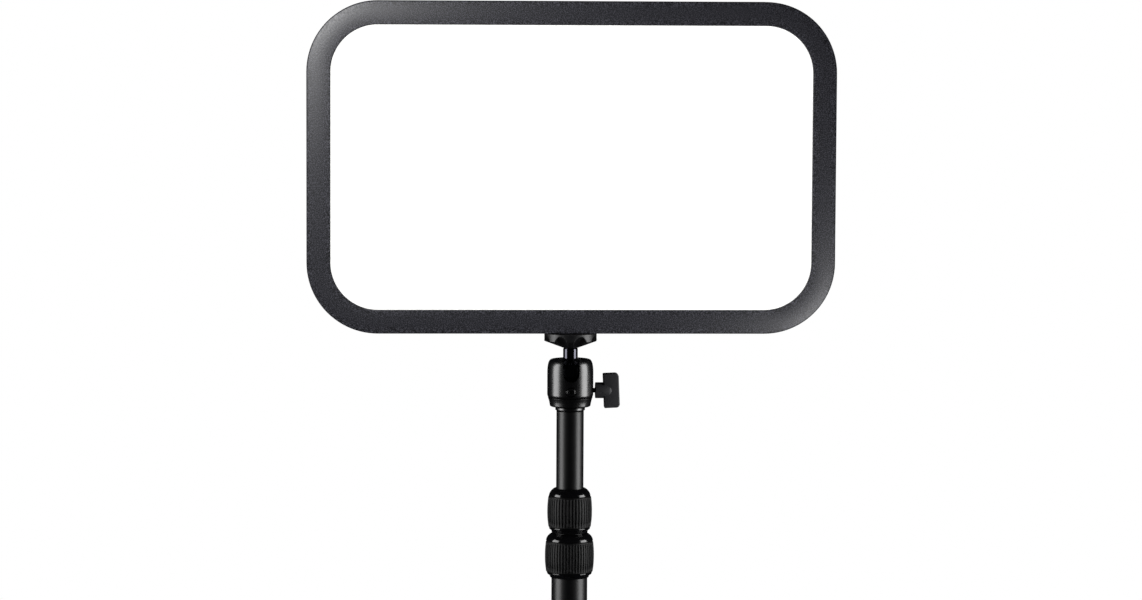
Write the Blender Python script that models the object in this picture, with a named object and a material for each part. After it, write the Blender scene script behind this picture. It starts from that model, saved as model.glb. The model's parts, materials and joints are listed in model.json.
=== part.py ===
"""LED panel light on a telescopic desk pole: every separate piece of it.

Metres, +Z up. The panel faces -Y. The origin is on the pole's axis, on the underside of the rubber
under the upper jaw of the desk clamp, where the clamp meets the top of a desk.
"""
import math

import bmesh
import bpy

MM = 0.001

# How finely round shapes are divided
ROUND_STEPS = 20
SMALL_ROUND_STEPS = 12
CORNER_STEPS = 6
EDGE_STEPS = 3
BALL_STEPS = 7
SHARP_ANGLE = math.radians(32)

# Directions for pieces that are built along Z and then laid down
TO_FRONT = (math.pi / 2, 0, 0)
TO_BACK = (-math.pi / 2, 0, 0)
TO_RIGHT = (0, math.pi / 2, 0)

# Clearances
GAP = 0.3 * MM              # between two pieces that touch or slide
CUT_MARGIN = 2.0 * MM       # how far a cutter runs past the face that it opens

# Panel
PANEL_WIDTH = 365.0 * MM
PANEL_HEIGHT = 229.0 * MM
PANEL_DEPTH = 24.0 * MM
PANEL_CORNER = 49.0 * MM
BEZEL_WIDTH = 16.5 * MM
COVER_DEPTH = 5.7 * MM
PANEL_WALL = 2.2 * MM
FRONT_EDGE = 1.1 * MM       # rounding of the bezel's front edges
BACK_EDGE = 5.0 * MM        # rounding of the rear cover's edge
DIFFUSER_THICKNESS = 2.0 * MM
DIFFUSER_RECESS = 0.4 * MM
DIFFUSER_EDGE = 1.4 * MM
DIFFUSER_LIP = 4.0 * MM     # from the panel's outline to the edge of the lip
GUIDE_THICKNESS = 3.5 * MM
GUIDE_INSET = 12.0 * MM
REFLECTOR_THICKNESS = 0.4 * MM
SPREADER_THICKNESS = 1.2 * MM

# LED strips
STRIP_MARGIN = 9.5 * MM     # from the start of the panel's corners to the strip's ends
STRIP_END = 6.0 * MM        # from the strip's ends to the last light source
STRIP_THICKNESS = 1.2 * MM
LED_HEIGHT = 0.9 * MM
LED_WIDTH = 3.0 * MM
LED_COUNT = 11

# Cover screws and their standoffs
SCREW_INSET = 22.0 * MM
SCREW_RADIUS = 1.25 * MM
SCREW_HEAD_RADIUS = 2.5 * MM
SCREW_HEAD_HEIGHT = 1.1 * MM
SCREW_LENGTH = 7.0 * MM
STANDOFF_RADIUS = 3.2 * MM

# Electronics and controls on the back
DRIVER_SIZE = (90.0 * MM, 60.0 * MM, 1.6 * MM)
DRIVER_X = -70.0 * MM
COIL_RADIUS = 7.0 * MM
COIL_SHARE = 0.68           # coil height, as a share of the room over the driver board
CAPACITOR_SHARE = 0.45      # capacitor radius, as a share of the same room
CAPACITOR_LENGTH = 16.0 * MM
CONTROL_HEIGHT = 56.5 * MM  # of the controls over the panel's lower edge
CONTROL_BOARD = (84.0 * MM, 26.0 * MM, 1.6 * MM)
ENCODER_SIZE = 12.0 * MM
DIAL_SPACING = 27.0 * MM
DIAL_RADIUS = 8.5 * MM
DIAL_HEIGHT = 7.0 * MM
DIAL_SHAFT_RADIUS = 3.0 * MM
BUTTON_RADIUS = 5.0 * MM
BUTTON_PROUD = 1.6 * MM
BUTTON_TRAVEL = 1.0 * MM
BUTTON_FLANGE = 1.2 * MM
SOCKET_X = 62.0 * MM
SOCKET_RADIUS = 5.5 * MM
SOCKET_BORE = 2.9 * MM
SOCKET_PIN = 1.0 * MM
SOCKET_BASE = 1.5 * MM      # thickness of the floor under the socket's bore
SOCKET_ROOM = 3.0 * MM      # between the socket and the heat spreader
VENT_COUNT = 7
VENT_LENGTH = 42.0 * MM
VENT_WIDTH = 3.0 * MM
VENT_PITCH = 8.0 * MM
VENT_X = 70.0 * MM
VENT_Z = 8.0 * MM

# Stud, insert and lock wheel
STUD_RADIUS = 3.1 * MM
STUD_ENGAGEMENT = 9.0 * MM  # length of stud inside the panel
INSERT_SIZE = (22.0 * MM, 10.4 * MM, 8.4 * MM)
WHEEL_RADIUS = 18.15 * MM
WHEEL_HEIGHT = 9.2 * MM
WHEEL_RIM = 4.4 * MM        # height of the wheel's side wall
WHEEL_HUB_RADIUS = 6.0 * MM
WHEEL_LOBES = 8
WHEEL_LOBE_STEPS = 6
WHEEL_SCOOP = 1.1 * MM
PAD_THICKNESS = 1.0 * MM
PAD_INSET = 2.2 * MM

# Ball head
BALL_RADIUS = 11.0 * MM
STEM_RADIUS = 5.1 * MM
STEM_CLEARANCE = 1.0 * MM   # from the housing's side to the stem's shoulder when it is tipped
BALL_END_ANGLE = math.radians(172)
SEAT_THICKNESS = 1.0 * MM
SEAT_TOP_ANGLE = math.radians(120)
SEAT_END_ANGLE = math.radians(150)
HOUSING_WALL = 3.4 * MM
HOUSING_SKIRT = 1.2 * MM    # housing under the pin
BALL_PROUD = 1.5 * MM       # how far the ball's top stands over the housing
HOUSING_SHOULDER = 6.5 * MM
MOUTH_LIP = 1.6 * MM        # how far the mouth closes in over the ball
MOUTH_FLARE = 2.3 * MM
MOUTH_RIM = 1.0 * MM
NOTCH_GAP = 0.3 * MM        # beside the stem when it lies in the notch
NOTCH_STEPS = 8
LOCK_UNDER_BALL = 1.3 * MM  # from the ball's underside down to the lock screw's axis
CUP_OVER_PIN = 1.4 * MM     # pressure cup above the pin
CUP_FLOOR_ANGLE = math.radians(176)
CHAMBER_STEP = 1.2 * MM     # from the ball's centre down to where the housing widens
PIN_RADIUS = 3.1 * MM
PIN_RECESS = 0.4 * MM
PIN_BITE = 1.3 * MM         # how far the pin and the lock screw reach into the cup
CAP_HEIGHT = 6.4 * MM
CAP_TAPER = 1.9 * MM
LOCK_SCREW_RADIUS = 1.8 * MM
KNOB_GAP = 1.3 * MM         # bare screw between housing and knob
KNOB_HUB_RADIUS = 5.55 * MM
KNOB_HUB_LENGTH = 5.8 * MM
KNOB_BAR = (24.4 * MM, 8.4 * MM, 11.4 * MM)
KNOB_BAR_EDGE = 2.0 * MM
KNOB_HUB_SHARE = 0.7        # how far the hub runs into the bar, as a share of its thickness
KNOB_SCREW_BITE = 4.0 * MM

# Spigot on which the head turns
SPIGOT_FLANGE_LIP = 0.9 * MM
SPIGOT_FLANGE_HEIGHT = 2.5 * MM
SPIGOT_STUD_LENGTH = 5.6 * MM
SPIGOT_PLUG_LENGTH = 20.0 * MM

# Telescopic pole
TOP_TUBE_RADIUS = 9.5 * MM
TUBE_WALL = 1.2 * MM
TOP_TUBE_SHOWN = 54.3 * MM
BOTTOM_TUBE_LENGTH = 378.0 * MM
MID_TUBE_EXTRA = 7.0 * MM   # over the bottom tube's length
TOP_TUBE_SHORTER = 15.0 * MM
TUBE_IN_COLLAR = 22.0 * MM
FOOT_PLUG = 10.0 * MM
FOOT_FLANGE = 4.0 * MM
FOOT_WALL = 1.6 * MM

# Twist collars, as heights and radii above the tube that they hold
COLLAR_GAP = 0.4 * MM
COLLAR_HEIGHT = 31.0 * MM
COLLAR_NECK = 5.0 * MM      # height of the closed ends of the shell
COLLAR_BULGE = 0.65 * MM    # crown of the grip
COLLAR_FLARE = ((0.65, 0.4), (1.0, 0.75))  # shares of the foot's width and height
GRIP_HEIGHT = 22.0 * MM
GRIP_LOW_SHARE = 0.42       # share of the collar's bare height that lies under the grip
GRIP_THICKNESS = 1.0 * MM
BUSH_THICKNESS = 1.2 * MM
BUSH_HEIGHT = 14.0 * MM
SHELL_WALL = 0.9 * MM
COLLET_HEIGHT = 5.5 * MM
COLLET_SLIT = 1.5 * MM

# Desk clamp
JAW_PAD_SIZE = (44.0 * MM, 56.0 * MM, 1.5 * MM)
JAW_PAD_Y = -14.0 * MM
BRACKET_THICKNESS = 6.0 * MM
BRACKET_FRONT = -44.0 * MM
BRACKET_BACK = 30.0 * MM
BRACKET_ARM_FRONT = -30.0 * MM
BRACKET_OPENING = 82.0 * MM
BRACKET_BEND = 9.0 * MM
SPINDLE_Y = -12.0 * MM
SPINDLE_RADIUS = 5.0 * MM
SPINDLE_LENGTH = 105.0 * MM
SPINDLE_IN_PAD = 3.5 * MM
BOSS_RADIUS = 10.0 * MM
BOSS_HEIGHT = 18.0 * MM
DESK_THICKNESS = 40.0 * MM
PRESS_PAD_RADIUS = 20.0 * MM
PRESS_PAD_HEIGHT = 6.0 * MM
PRESS_RUBBER = 1.9 * MM
SCREW_KNOB_RADIUS = 22.0 * MM
SCREW_KNOB_HEIGHT = 18.0 * MM
SCREW_KNOB_LOBES = 5
SCREW_KNOB_LOBE_STEPS = 8
SCREW_KNOB_SCOOP = 3.0 * MM

# Pole socket on the clamp
SOCKET_FLOOR = 1.9 * MM
SOCKET_WALL = 4.2 * MM
SOCKET_HEIGHT = 44.0 * MM
SOCKET_RIM = 1.0 * MM       # from the bolt heads to the flange's edge
SOCKET_FLANGE_HEIGHT = 5.0 * MM
SOCKET_BOLT_RADIUS = 1.5 * MM
SOCKET_BOLT_HEAD = 2.9 * MM
THUMB_HEIGHT = 28.0 * MM    # of the thumb screw over the socket's foot
THUMB_SCREW_RADIUS = 3.0 * MM
THUMB_KNOB_RADIUS = 10.0 * MM
THUMB_KNOB_HEIGHT = 12.0 * MM
THUMB_LOBES = 6
THUMB_LOBE_STEPS = 6
THUMB_SCOOP = 0.9 * MM
THUMB_GAP = 2.0 * MM

# Worked out: tubes, from the top tube outwards
TOP_TUBE_BORE = TOP_TUBE_RADIUS - TUBE_WALL
MID_TUBE_BORE = TOP_TUBE_RADIUS + GAP
MID_TUBE_RADIUS = MID_TUBE_BORE + TUBE_WALL
BOTTOM_TUBE_BORE = MID_TUBE_RADIUS + GAP
BOTTOM_TUBE_RADIUS = BOTTOM_TUBE_BORE + TUBE_WALL
MID_TUBE_LENGTH = BOTTOM_TUBE_LENGTH + MID_TUBE_EXTRA
TOP_TUBE_LENGTH = MID_TUBE_LENGTH - TOP_TUBE_SHORTER
SPIGOT_FLANGE_RADIUS = TOP_TUBE_RADIUS + SPIGOT_FLANGE_LIP

# Worked out: the pole's socket, from its sleeve outwards
SOCKET_SLEEVE = BOTTOM_TUBE_RADIUS + GAP + SOCKET_WALL
SOCKET_BOLT_CIRCLE = SOCKET_SLEEVE + 2 * GAP + SOCKET_BOLT_HEAD
SOCKET_FLANGE_RADIUS = SOCKET_BOLT_CIRCLE + SOCKET_BOLT_HEAD + GAP + SOCKET_RIM
BRACKET_WIDTH = 2 * (SOCKET_FLANGE_RADIUS + GAP)

# Worked out: the ball head, from the ball outwards
CAVITY_RADIUS = BALL_RADIUS + GAP
MOUTH_RADIUS = CAVITY_RADIUS - MOUTH_LIP
SEAT_INNER = BALL_RADIUS + GAP
SEAT_OUTER = SEAT_INNER + SEAT_THICKNESS
CHAMBER_RADIUS = SEAT_OUTER + GAP
CUP_RADIUS = CHAMBER_RADIUS - GAP
HOUSING_RADIUS = CHAMBER_RADIUS + HOUSING_WALL
NOTCH_HALF = STEM_RADIUS + NOTCH_GAP
BITE_RADIUS = CUP_RADIUS - PIN_BITE
STEM_REACH = HOUSING_RADIUS + STEM_CLEARANCE
LOCK_DROP = BALL_RADIUS + LOCK_UNDER_BALL
CUP_TOP = LOCK_DROP - PIN_RADIUS - GAP - CUP_OVER_PIN
HOUSING_ABOVE_BALL = BALL_RADIUS - BALL_PROUD
HOUSING_BELOW_BALL = LOCK_DROP + PIN_RADIUS + GAP + HOUSING_SKIRT

# Worked out: heights, from the desk upwards
JAW_TOP = JAW_PAD_SIZE[2] + GAP + BRACKET_THICKNESS
SOCKET_FOOT = JAW_TOP + GAP
BOTTOM_TUBE_FOOT = SOCKET_FOOT + SOCKET_FLOOR + GAP
BOTTOM_TUBE_TOP = BOTTOM_TUBE_FOOT + BOTTOM_TUBE_LENGTH
LOWER_COLLAR_Z = BOTTOM_TUBE_TOP - TUBE_IN_COLLAR
UPPER_COLLAR_Z = LOWER_COLLAR_Z + COLLAR_HEIGHT + COLLAR_GAP
MID_TUBE_TOP = UPPER_COLLAR_Z + TUBE_IN_COLLAR
MID_TUBE_FOOT = MID_TUBE_TOP - MID_TUBE_LENGTH
TOP_TUBE_TOP = UPPER_COLLAR_Z + COLLAR_HEIGHT + TOP_TUBE_SHOWN - GAP
TOP_TUBE_FOOT = TOP_TUBE_TOP - TOP_TUBE_LENGTH
SPIGOT_Z = TOP_TUBE_TOP + GAP
CAP_Z = SPIGOT_Z + SPIGOT_FLANGE_HEIGHT + GAP
HOUSING_Z = CAP_Z + CAP_HEIGHT + GAP
BALL_Z = HOUSING_Z + HOUSING_BELOW_BALL
WHEEL_Z = BALL_Z + STEM_REACH + GAP
WHEEL_PAD_Z = WHEEL_Z + WHEEL_HEIGHT + GAP
PANEL_FOOT_Z = WHEEL_PAD_Z + PAD_THICKNESS + GAP
PANEL_Z = PANEL_FOOT_Z + PANEL_HEIGHT / 2

# Worked out: depths in the panel, from its front face to its back
PANEL_FRONT = -PANEL_DEPTH / 2
PANEL_BACK = PANEL_DEPTH / 2
COVER_FRONT = PANEL_BACK - COVER_DEPTH
BEZEL_BACK = COVER_FRONT - GAP
COVER_FLOOR = PANEL_BACK - PANEL_WALL
DIFFUSER_Y = PANEL_FRONT + PANEL_WALL + GAP
GUIDE_Y = DIFFUSER_Y + DIFFUSER_THICKNESS + GAP
REFLECTOR_Y = GUIDE_Y + GUIDE_THICKNESS + GAP
SPREADER_Y = REFLECTOR_Y + REFLECTOR_THICKNESS + GAP
BOARD_Y = SPREADER_Y + SPREADER_THICKNESS + GAP
STANDOFF_TOP = COVER_FLOOR - GAP
CONTROL_BOARD_Y = (BOARD_Y + STANDOFF_TOP - CONTROL_BOARD[2]) / 2
CONTROL_Z = CONTROL_HEIGHT - PANEL_HEIGHT / 2
SOCKET_LENGTH = PANEL_BACK - SPREADER_Y - SPREADER_THICKNESS - SOCKET_ROOM
SOCKET_DEPTH = SOCKET_LENGTH - SOCKET_BASE
STRIP_LENGTH = PANEL_HEIGHT - 2 * (PANEL_CORNER + STRIP_MARGIN)
LED_PITCH = (STRIP_LENGTH - 2 * STRIP_END) / (LED_COUNT - 1)

FINISHES = {
    "powder_coat": ((0.055, 0.056, 0.063), 0.45, 0.3),
    "opal_acrylic": ((0.9, 0.9, 0.88), 0.3, 0.0),
    "clear_acrylic": ((0.8, 0.85, 0.88), 0.1, 0.0),
    "white_film": ((0.85, 0.85, 0.85), 0.6, 0.0),
    "black_anodised": ((0.012, 0.012, 0.014), 0.3, 0.6),
    "black_plastic": ((0.016, 0.016, 0.018), 0.5, 0.0),
    "black_rubber": ((0.014, 0.014, 0.015), 0.8, 0.0),
    "gloss_plastic": ((0.008, 0.008, 0.009), 0.15, 0.0),
    "black_chrome": ((0.10, 0.10, 0.11), 0.1, 1.0),
    "steel": ((0.5, 0.5, 0.5), 0.3, 1.0),
    "aluminium": ((0.7, 0.7, 0.72), 0.35, 1.0),
    "nylon": ((0.75, 0.73, 0.68), 0.5, 0.0),
    "board": ((0.02, 0.14, 0.07), 0.4, 0.0),
    "brass": ((0.6, 0.42, 0.16), 0.3, 1.0),
}


# Materials and objects ------------------------------------------------------------------------

def remove_everything():
    for thing in list(bpy.data.objects):
        bpy.data.objects.remove(thing, do_unlink=True)


def make_material(name, finish):
    """A Principled material with a finish's colour, roughness and metallic value."""
    colour, roughness, metallic = FINISHES[finish]
    material = bpy.data.materials.new(name)
    material.use_nodes = True
    shader = material.node_tree.nodes["Principled BSDF"]
    shader.inputs["Base Color"].default_value = (*colour, 1.0)
    shader.inputs["Roughness"].default_value = roughness
    shader.inputs["Metallic"].default_value = metallic
    return material


def finish_object(name, shape, finish=None):
    """Turn a bmesh into a smooth-shaded object; a piece without a finish is a cutter."""
    bmesh.ops.recalc_face_normals(shape, faces=shape.faces)
    mesh = bpy.data.meshes.new(name)
    shape.to_mesh(mesh)
    shape.free()
    mesh.shade_smooth()
    mesh.set_sharp_from_angle(angle=SHARP_ANGLE)
    piece = bpy.data.objects.new(name, mesh)
    bpy.context.scene.collection.objects.link(piece)
    if finish is None:
        piece.hide_render = True
        piece.display_type = "WIRE"
    else:
        mesh.materials.append(make_material(name, finish))
    return piece


def place(piece, location, rotation=(0, 0, 0)):
    piece.location = location
    piece.rotation_euler = rotation
    return piece


def combine(piece, other, operation):
    """Cut another shape out of a piece, or join it on, and hide the other shape."""
    tool = piece.modifiers.new(other.name, "BOOLEAN")
    tool.operation = operation
    tool.solver = "EXACT"
    tool.object = other
    other.hide_render = True
    other.display_type = "WIRE"


def cut(piece, *cutters):
    for cutter in cutters:
        combine(piece, cutter, "DIFFERENCE")


def join(piece, *others):
    for other in others:
        combine(piece, other, "UNION")


# Shapes ---------------------------------------------------------------------------------------

def loft(name, loops, finish=None, ring=False):
    """Skin loops of equal length. A ring joins the last loop to the first; else both are capped."""
    shape = bmesh.new()
    rows = [[shape.verts.new(point) for point in loop] for loop in loops]
    pairs = list(zip(rows, rows[1:]))
    if ring:
        pairs.append((rows[-1], rows[0]))
    else:
        shape.faces.new(rows[0])
        shape.faces.new(rows[-1])
    count = len(rows[0])
    for near, far in pairs:
        for i in range(count):
            j = (i + 1) % count
            shape.faces.new((near[i], near[j], far[j], far[i]))
    return finish_object(name, shape, finish)


def circle(radius, height, steps):
    turn = 2 * math.pi / steps
    return [(radius * math.cos(i * turn), radius * math.sin(i * turn), height) for i in range(steps)]


def turned(name, profile, finish=None, ring=False, steps=ROUND_STEPS):
    """Turn a profile of (radius, height) about Z; a ring's profile is a closed outline."""
    return loft(name, [circle(radius, height, steps) for radius, height in profile], finish, ring)


def arc(centre, radius, start, end, steps):
    """Points of an arc in the plane of a profile, with angles in radians."""
    angles = [start + (end - start) * i / steps for i in range(steps + 1)]
    return [(centre[0] + radius * math.cos(a), centre[1] + radius * math.sin(a)) for a in angles]


def rounded_outline(inset, depth):
    """The panel's rounded outline, drawn in by inset, at a depth along Y."""
    half_x = PANEL_WIDTH / 2 - inset
    half_z = PANEL_HEIGHT / 2 - inset
    radius = PANEL_CORNER - inset
    points = []
    for corner, (side_x, side_z) in enumerate(((1, 1), (-1, 1), (-1, -1), (1, -1))):
        centre = (side_x * (half_x - radius), side_z * (half_z - radius))
        start = corner * math.pi / 2
        points += arc(centre, radius, start, start + math.pi / 2, CORNER_STEPS)
    return [(x, depth, z) for x, z in points]


def box(name, low, high, finish=None):
    shape = bmesh.new()
    bmesh.ops.create_cube(shape, size=1.0)
    for vertex in shape.verts:
        vertex.co = [a if side < 0 else b for side, a, b in zip(vertex.co, low, high)]
    return finish_object(name, shape, finish)


def prism(name, outline, depths, finish=None):
    """A flat outline of (x, z) points carried along Y between two depths."""
    return loft(name, [[(x, y, z) for x, z in outline] for y in depths], finish)


def rod(name, radius, low, high, finish=None, steps=SMALL_ROUND_STEPS):
    return turned(name, [(radius, low), (radius, high)], finish, steps=steps)


def lobed_loop(radius, scoop, lobes, height, steps):
    """A circle with a hollow between every two lobes; a lobe points along -Y."""
    points = []
    for i in range(steps):
        angle = 2 * math.pi * i / steps
        hollow = 0.5 - 0.5 * math.cos(lobes * (angle + math.pi / 2))
        reach = radius - scoop * hollow
        points.append((reach * math.cos(angle), reach * math.sin(angle), height))
    return points


# Panel ----------------------------------------------------------------------------------------

def panel_screw_places():
    """Where the cover screws stand, as (x, z) from the panel's centre."""
    x = PANEL_WIDTH / 2 - SCREW_INSET
    z = PANEL_HEIGHT / 2 - SCREW_INSET
    return [(-x, -z), (0, -z), (x, -z), (-x, z), (0, z), (x, z)]


def at_panel(piece, x=0.0, y=0.0, z=0.0, rotation=(0, 0, 0)):
    return place(piece, (x, y, PANEL_Z + z), rotation)


def make_front_bezel():
    section = [(BEZEL_WIDTH, PANEL_FRONT + PANEL_WALL)]
    inner = (BEZEL_WIDTH - FRONT_EDGE, PANEL_FRONT + FRONT_EDGE)
    section += arc(inner, FRONT_EDGE, 0, -math.pi / 2, EDGE_STEPS)
    outer = (FRONT_EDGE, PANEL_FRONT + FRONT_EDGE)
    section += arc(outer, FRONT_EDGE, -math.pi / 2, -math.pi, EDGE_STEPS)
    section += [(0, BEZEL_BACK), (PANEL_WALL, BEZEL_BACK), (PANEL_WALL, PANEL_FRONT + PANEL_WALL)]
    loops = [rounded_outline(inset, depth) for inset, depth in section]
    bezel = at_panel(loft("front_bezel", loops, "powder_coat", ring=True))
    foot = -PANEL_HEIGHT / 2
    hole = rod("bezel_stud_hole", STUD_RADIUS + 2 * GAP, foot - CUT_MARGIN, foot + 2 * CUT_MARGIN)
    cut(bezel, at_panel(hole))


def make_rear_cover():
    inner_edge = BACK_EDGE - PANEL_WALL
    section = arc((BACK_EDGE, PANEL_BACK - BACK_EDGE), inner_edge, math.pi / 2, math.pi, EDGE_STEPS)
    section += [(PANEL_WALL, COVER_FRONT), (0, COVER_FRONT)]
    section += arc((BACK_EDGE, PANEL_BACK - BACK_EDGE), BACK_EDGE, math.pi, math.pi / 2, EDGE_STEPS + 1)
    loops = [rounded_outline(inset, depth) for inset, depth in section]
    cover = at_panel(loft("rear_cover", loops, "black_plastic"))
    for index, (x, z) in enumerate(panel_screw_places()):
        head_floor = PANEL_BACK - SCREW_HEAD_HEIGHT - GAP
        profile = [(SCREW_RADIUS + GAP, COVER_FLOOR - CUT_MARGIN), (SCREW_RADIUS + GAP, head_floor),
                   (SCREW_HEAD_RADIUS + GAP, head_floor), (SCREW_HEAD_RADIUS + GAP, PANEL_BACK + CUT_MARGIN)]
        cutter = turned(f"screw_hole_{index}", profile, steps=SMALL_ROUND_STEPS)
        cut(cover, at_panel(cutter, x, 0, z, TO_BACK))
    low, high = COVER_FLOOR - CUT_MARGIN, PANEL_BACK + CUT_MARGIN
    holes = [("button_hole", BUTTON_RADIUS, 0), ("socket_hole", SOCKET_RADIUS, SOCKET_X)]
    holes.append(("dial_hole_0", DIAL_SHAFT_RADIUS, -DIAL_SPACING))
    holes.append(("dial_hole_1", DIAL_SHAFT_RADIUS, DIAL_SPACING))
    for name, radius, x in holes:
        cut(cover, at_panel(rod(name, radius + GAP, low, high), x, 0, CONTROL_Z, TO_BACK))
    for side in (-1, 1):
        for index in range(VENT_COUNT):
            z = VENT_Z + (index - (VENT_COUNT - 1) / 2) * VENT_PITCH
            corner = (VENT_LENGTH / 2, VENT_WIDTH / 2)
            slot = box(f"vent_{side}_{index}", (-corner[0], low, -corner[1]), (corner[0], high, corner[1]))
            cut(cover, at_panel(slot, side * VENT_X, 0, z))


def make_diffuser():
    face = PANEL_FRONT + DIFFUSER_RECESS
    opening = BEZEL_WIDTH + GAP
    section = [(opening + DIFFUSER_EDGE, face), (opening, face + DIFFUSER_EDGE / 2), (opening, DIFFUSER_Y),
               (DIFFUSER_LIP, DIFFUSER_Y), (DIFFUSER_LIP, DIFFUSER_Y + DIFFUSER_THICKNESS)]
    loops = [rounded_outline(inset, depth) for inset, depth in section]
    at_panel(loft("diffuser_plate", loops, "opal_acrylic"))


def make_sheet(name, inset, depth, thickness, finish):
    loops = [rounded_outline(inset, depth), rounded_outline(inset, depth + thickness)]
    return at_panel(loft(name, loops, finish))


def make_led_strip(name, side):
    """A board with a row of light sources that face the edge of the light guide."""
    face = PANEL_WIDTH / 2 - GUIDE_INSET + GAP
    back = face + LED_HEIGHT + STRIP_THICKNESS
    half = STRIP_LENGTH / 2
    outline = [(back, -half), (back, half), (face + LED_HEIGHT, half)]
    for index in reversed(range(LED_COUNT)):
        z = (index - (LED_COUNT - 1) / 2) * LED_PITCH
        outline += [(face + LED_HEIGHT, z + LED_WIDTH / 2), (face, z + LED_WIDTH / 2)]
        outline += [(face, z - LED_WIDTH / 2), (face + LED_HEIGHT, z - LED_WIDTH / 2)]
    outline.append((face + LED_HEIGHT, -half))
    outline = [(side * x, z) for x, z in outline]
    at_panel(prism(name, outline, (GUIDE_Y, GUIDE_Y + GUIDE_THICKNESS), "board"))


def make_heat_spreader():
    inset = PANEL_WALL + GAP
    spreader = make_sheet("heat_spreader", inset, SPREADER_Y, SPREADER_THICKNESS, "aluminium")
    back = SPREADER_Y + SPREADER_THICKNESS
    for index, (x, z) in enumerate(panel_screw_places()):
        low, high = SPREADER_Y + SPREADER_THICKNESS / 2, STANDOFF_TOP
        join(spreader, at_panel(rod(f"standoff_{index}", STANDOFF_RADIUS, low, high), x, 0, z, TO_BACK))
        bore = rod(f"standoff_bore_{index}", SCREW_RADIUS + GAP, back + GAP, high + CUT_MARGIN)
        cut(spreader, at_panel(bore, x, 0, z, TO_BACK))
    width, _, height = INSERT_SIZE
    foot = -PANEL_HEIGHT / 2
    low = (-width / 2 - GAP, SPREADER_Y - CUT_MARGIN, foot - CUT_MARGIN)
    high = (width / 2 + GAP, back + CUT_MARGIN, foot + PANEL_WALL + height + 2 * GAP)
    cut(spreader, at_panel(box("spreader_notch", low, high)))


def make_cover_screws():
    for index, (x, z) in enumerate(panel_screw_places()):
        top = PANEL_BACK
        floor = top - SCREW_HEAD_HEIGHT
        profile = [(SCREW_RADIUS, floor - SCREW_LENGTH), (SCREW_RADIUS, floor),
                   (SCREW_HEAD_RADIUS, floor), (SCREW_HEAD_RADIUS, top)]
        screw = turned(f"cover_screw_{index + 1}", profile, "steel", steps=SMALL_ROUND_STEPS)
        at_panel(screw, x, 0, z, TO_BACK)


def make_driver():
    length, height, thickness = DRIVER_SIZE
    low = (-length / 2, BOARD_Y, -height / 2)
    at_panel(box("driver_board", low, (length / 2, BOARD_Y + thickness, height / 2), "board"), DRIVER_X)
    top = BOARD_Y + thickness + GAP
    room = STANDOFF_TOP - top
    coil = rod("driver_coil", COIL_RADIUS, top, top + room * COIL_SHARE, "black_plastic")
    at_panel(coil, DRIVER_X - length / 4, 0, 0, TO_BACK)
    radius = room * CAPACITOR_SHARE
    capacitor = rod("driver_capacitor", radius, 0, CAPACITOR_LENGTH, "aluminium")
    at_panel(capacitor, DRIVER_X + length / 8, top + radius, 0, TO_RIGHT)


def make_control_board():
    """The board behind the dials, with an encoder for each dial and a switch for the button."""
    length, height, thickness = CONTROL_BOARD
    face = CONTROL_BOARD_Y + thickness
    low = (-length / 2, CONTROL_BOARD_Y, -height / 2)
    board = at_panel(box("control_board", low, (length / 2, face, height / 2), "board"), z=CONTROL_Z)
    half = ENCODER_SIZE / 2
    root = face - thickness / 2
    for index, side in enumerate((-1, 1)):
        encoder = box(f"encoder_{index}", (-half, root, -half), (half, STANDOFF_TOP, half))
        join(board, at_panel(encoder, side * DIAL_SPACING, 0, CONTROL_Z))
        bore = rod(f"encoder_bore_{index}", DIAL_SHAFT_RADIUS + GAP, face, STANDOFF_TOP + CUT_MARGIN)
        cut(board, at_panel(bore, side * DIAL_SPACING, 0, CONTROL_Z, TO_BACK))
    switch_top = STANDOFF_TOP - BUTTON_FLANGE - BUTTON_TRAVEL - GAP
    quarter = ENCODER_SIZE / 4
    switch = box("switch_block", (-quarter, root, -quarter), (quarter, switch_top, quarter))
    join(board, at_panel(switch, z=CONTROL_Z))


def make_power_button():
    foot = STANDOFF_TOP - BUTTON_FLANGE
    profile = [(BUTTON_RADIUS + 2 * BUTTON_FLANGE, foot), (BUTTON_RADIUS + 2 * BUTTON_FLANGE, STANDOFF_TOP)]
    profile += [(BUTTON_RADIUS, STANDOFF_TOP)]
    top = PANEL_BACK + BUTTON_PROUD
    profile += [(BUTTON_RADIUS, top - BUTTON_FLANGE / 2), (BUTTON_RADIUS - BUTTON_FLANGE / 2, top)]
    at_panel(turned("power_button", profile, "gloss_plastic"), z=CONTROL_Z, rotation=TO_BACK)


def make_dial(name, side):
    shaft_end = CONTROL_BOARD_Y + CONTROL_BOARD[2] + GAP
    low, high = PANEL_BACK + GAP, PANEL_BACK + GAP + DIAL_HEIGHT
    profile = [(DIAL_SHAFT_RADIUS, shaft_end), (DIAL_SHAFT_RADIUS, low), (DIAL_RADIUS, low),
               (DIAL_RADIUS, high - FRONT_EDGE), (DIAL_RADIUS - FRONT_EDGE, high)]
    at_panel(turned(name, profile, "aluminium"), side * DIAL_SPACING, 0, CONTROL_Z, TO_BACK)


def make_dc_socket():
    face = PANEL_BACK
    flange = SOCKET_RADIUS + BUTTON_FLANGE
    profile = [(SOCKET_PIN, face - BUTTON_TRAVEL), (SOCKET_PIN, face - SOCKET_DEPTH),
               (SOCKET_BORE, face - SOCKET_DEPTH), (SOCKET_BORE, face), (SOCKET_RADIUS, face),
               (SOCKET_RADIUS, STANDOFF_TOP), (flange, STANDOFF_TOP), (flange, STANDOFF_TOP - BUTTON_FLANGE),
               (SOCKET_RADIUS, STANDOFF_TOP - BUTTON_FLANGE), (SOCKET_RADIUS, face - SOCKET_LENGTH)]
    socket = turned("dc_socket", profile, "black_plastic", steps=SMALL_ROUND_STEPS)
    at_panel(socket, SOCKET_X, 0, CONTROL_Z, TO_BACK)


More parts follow.
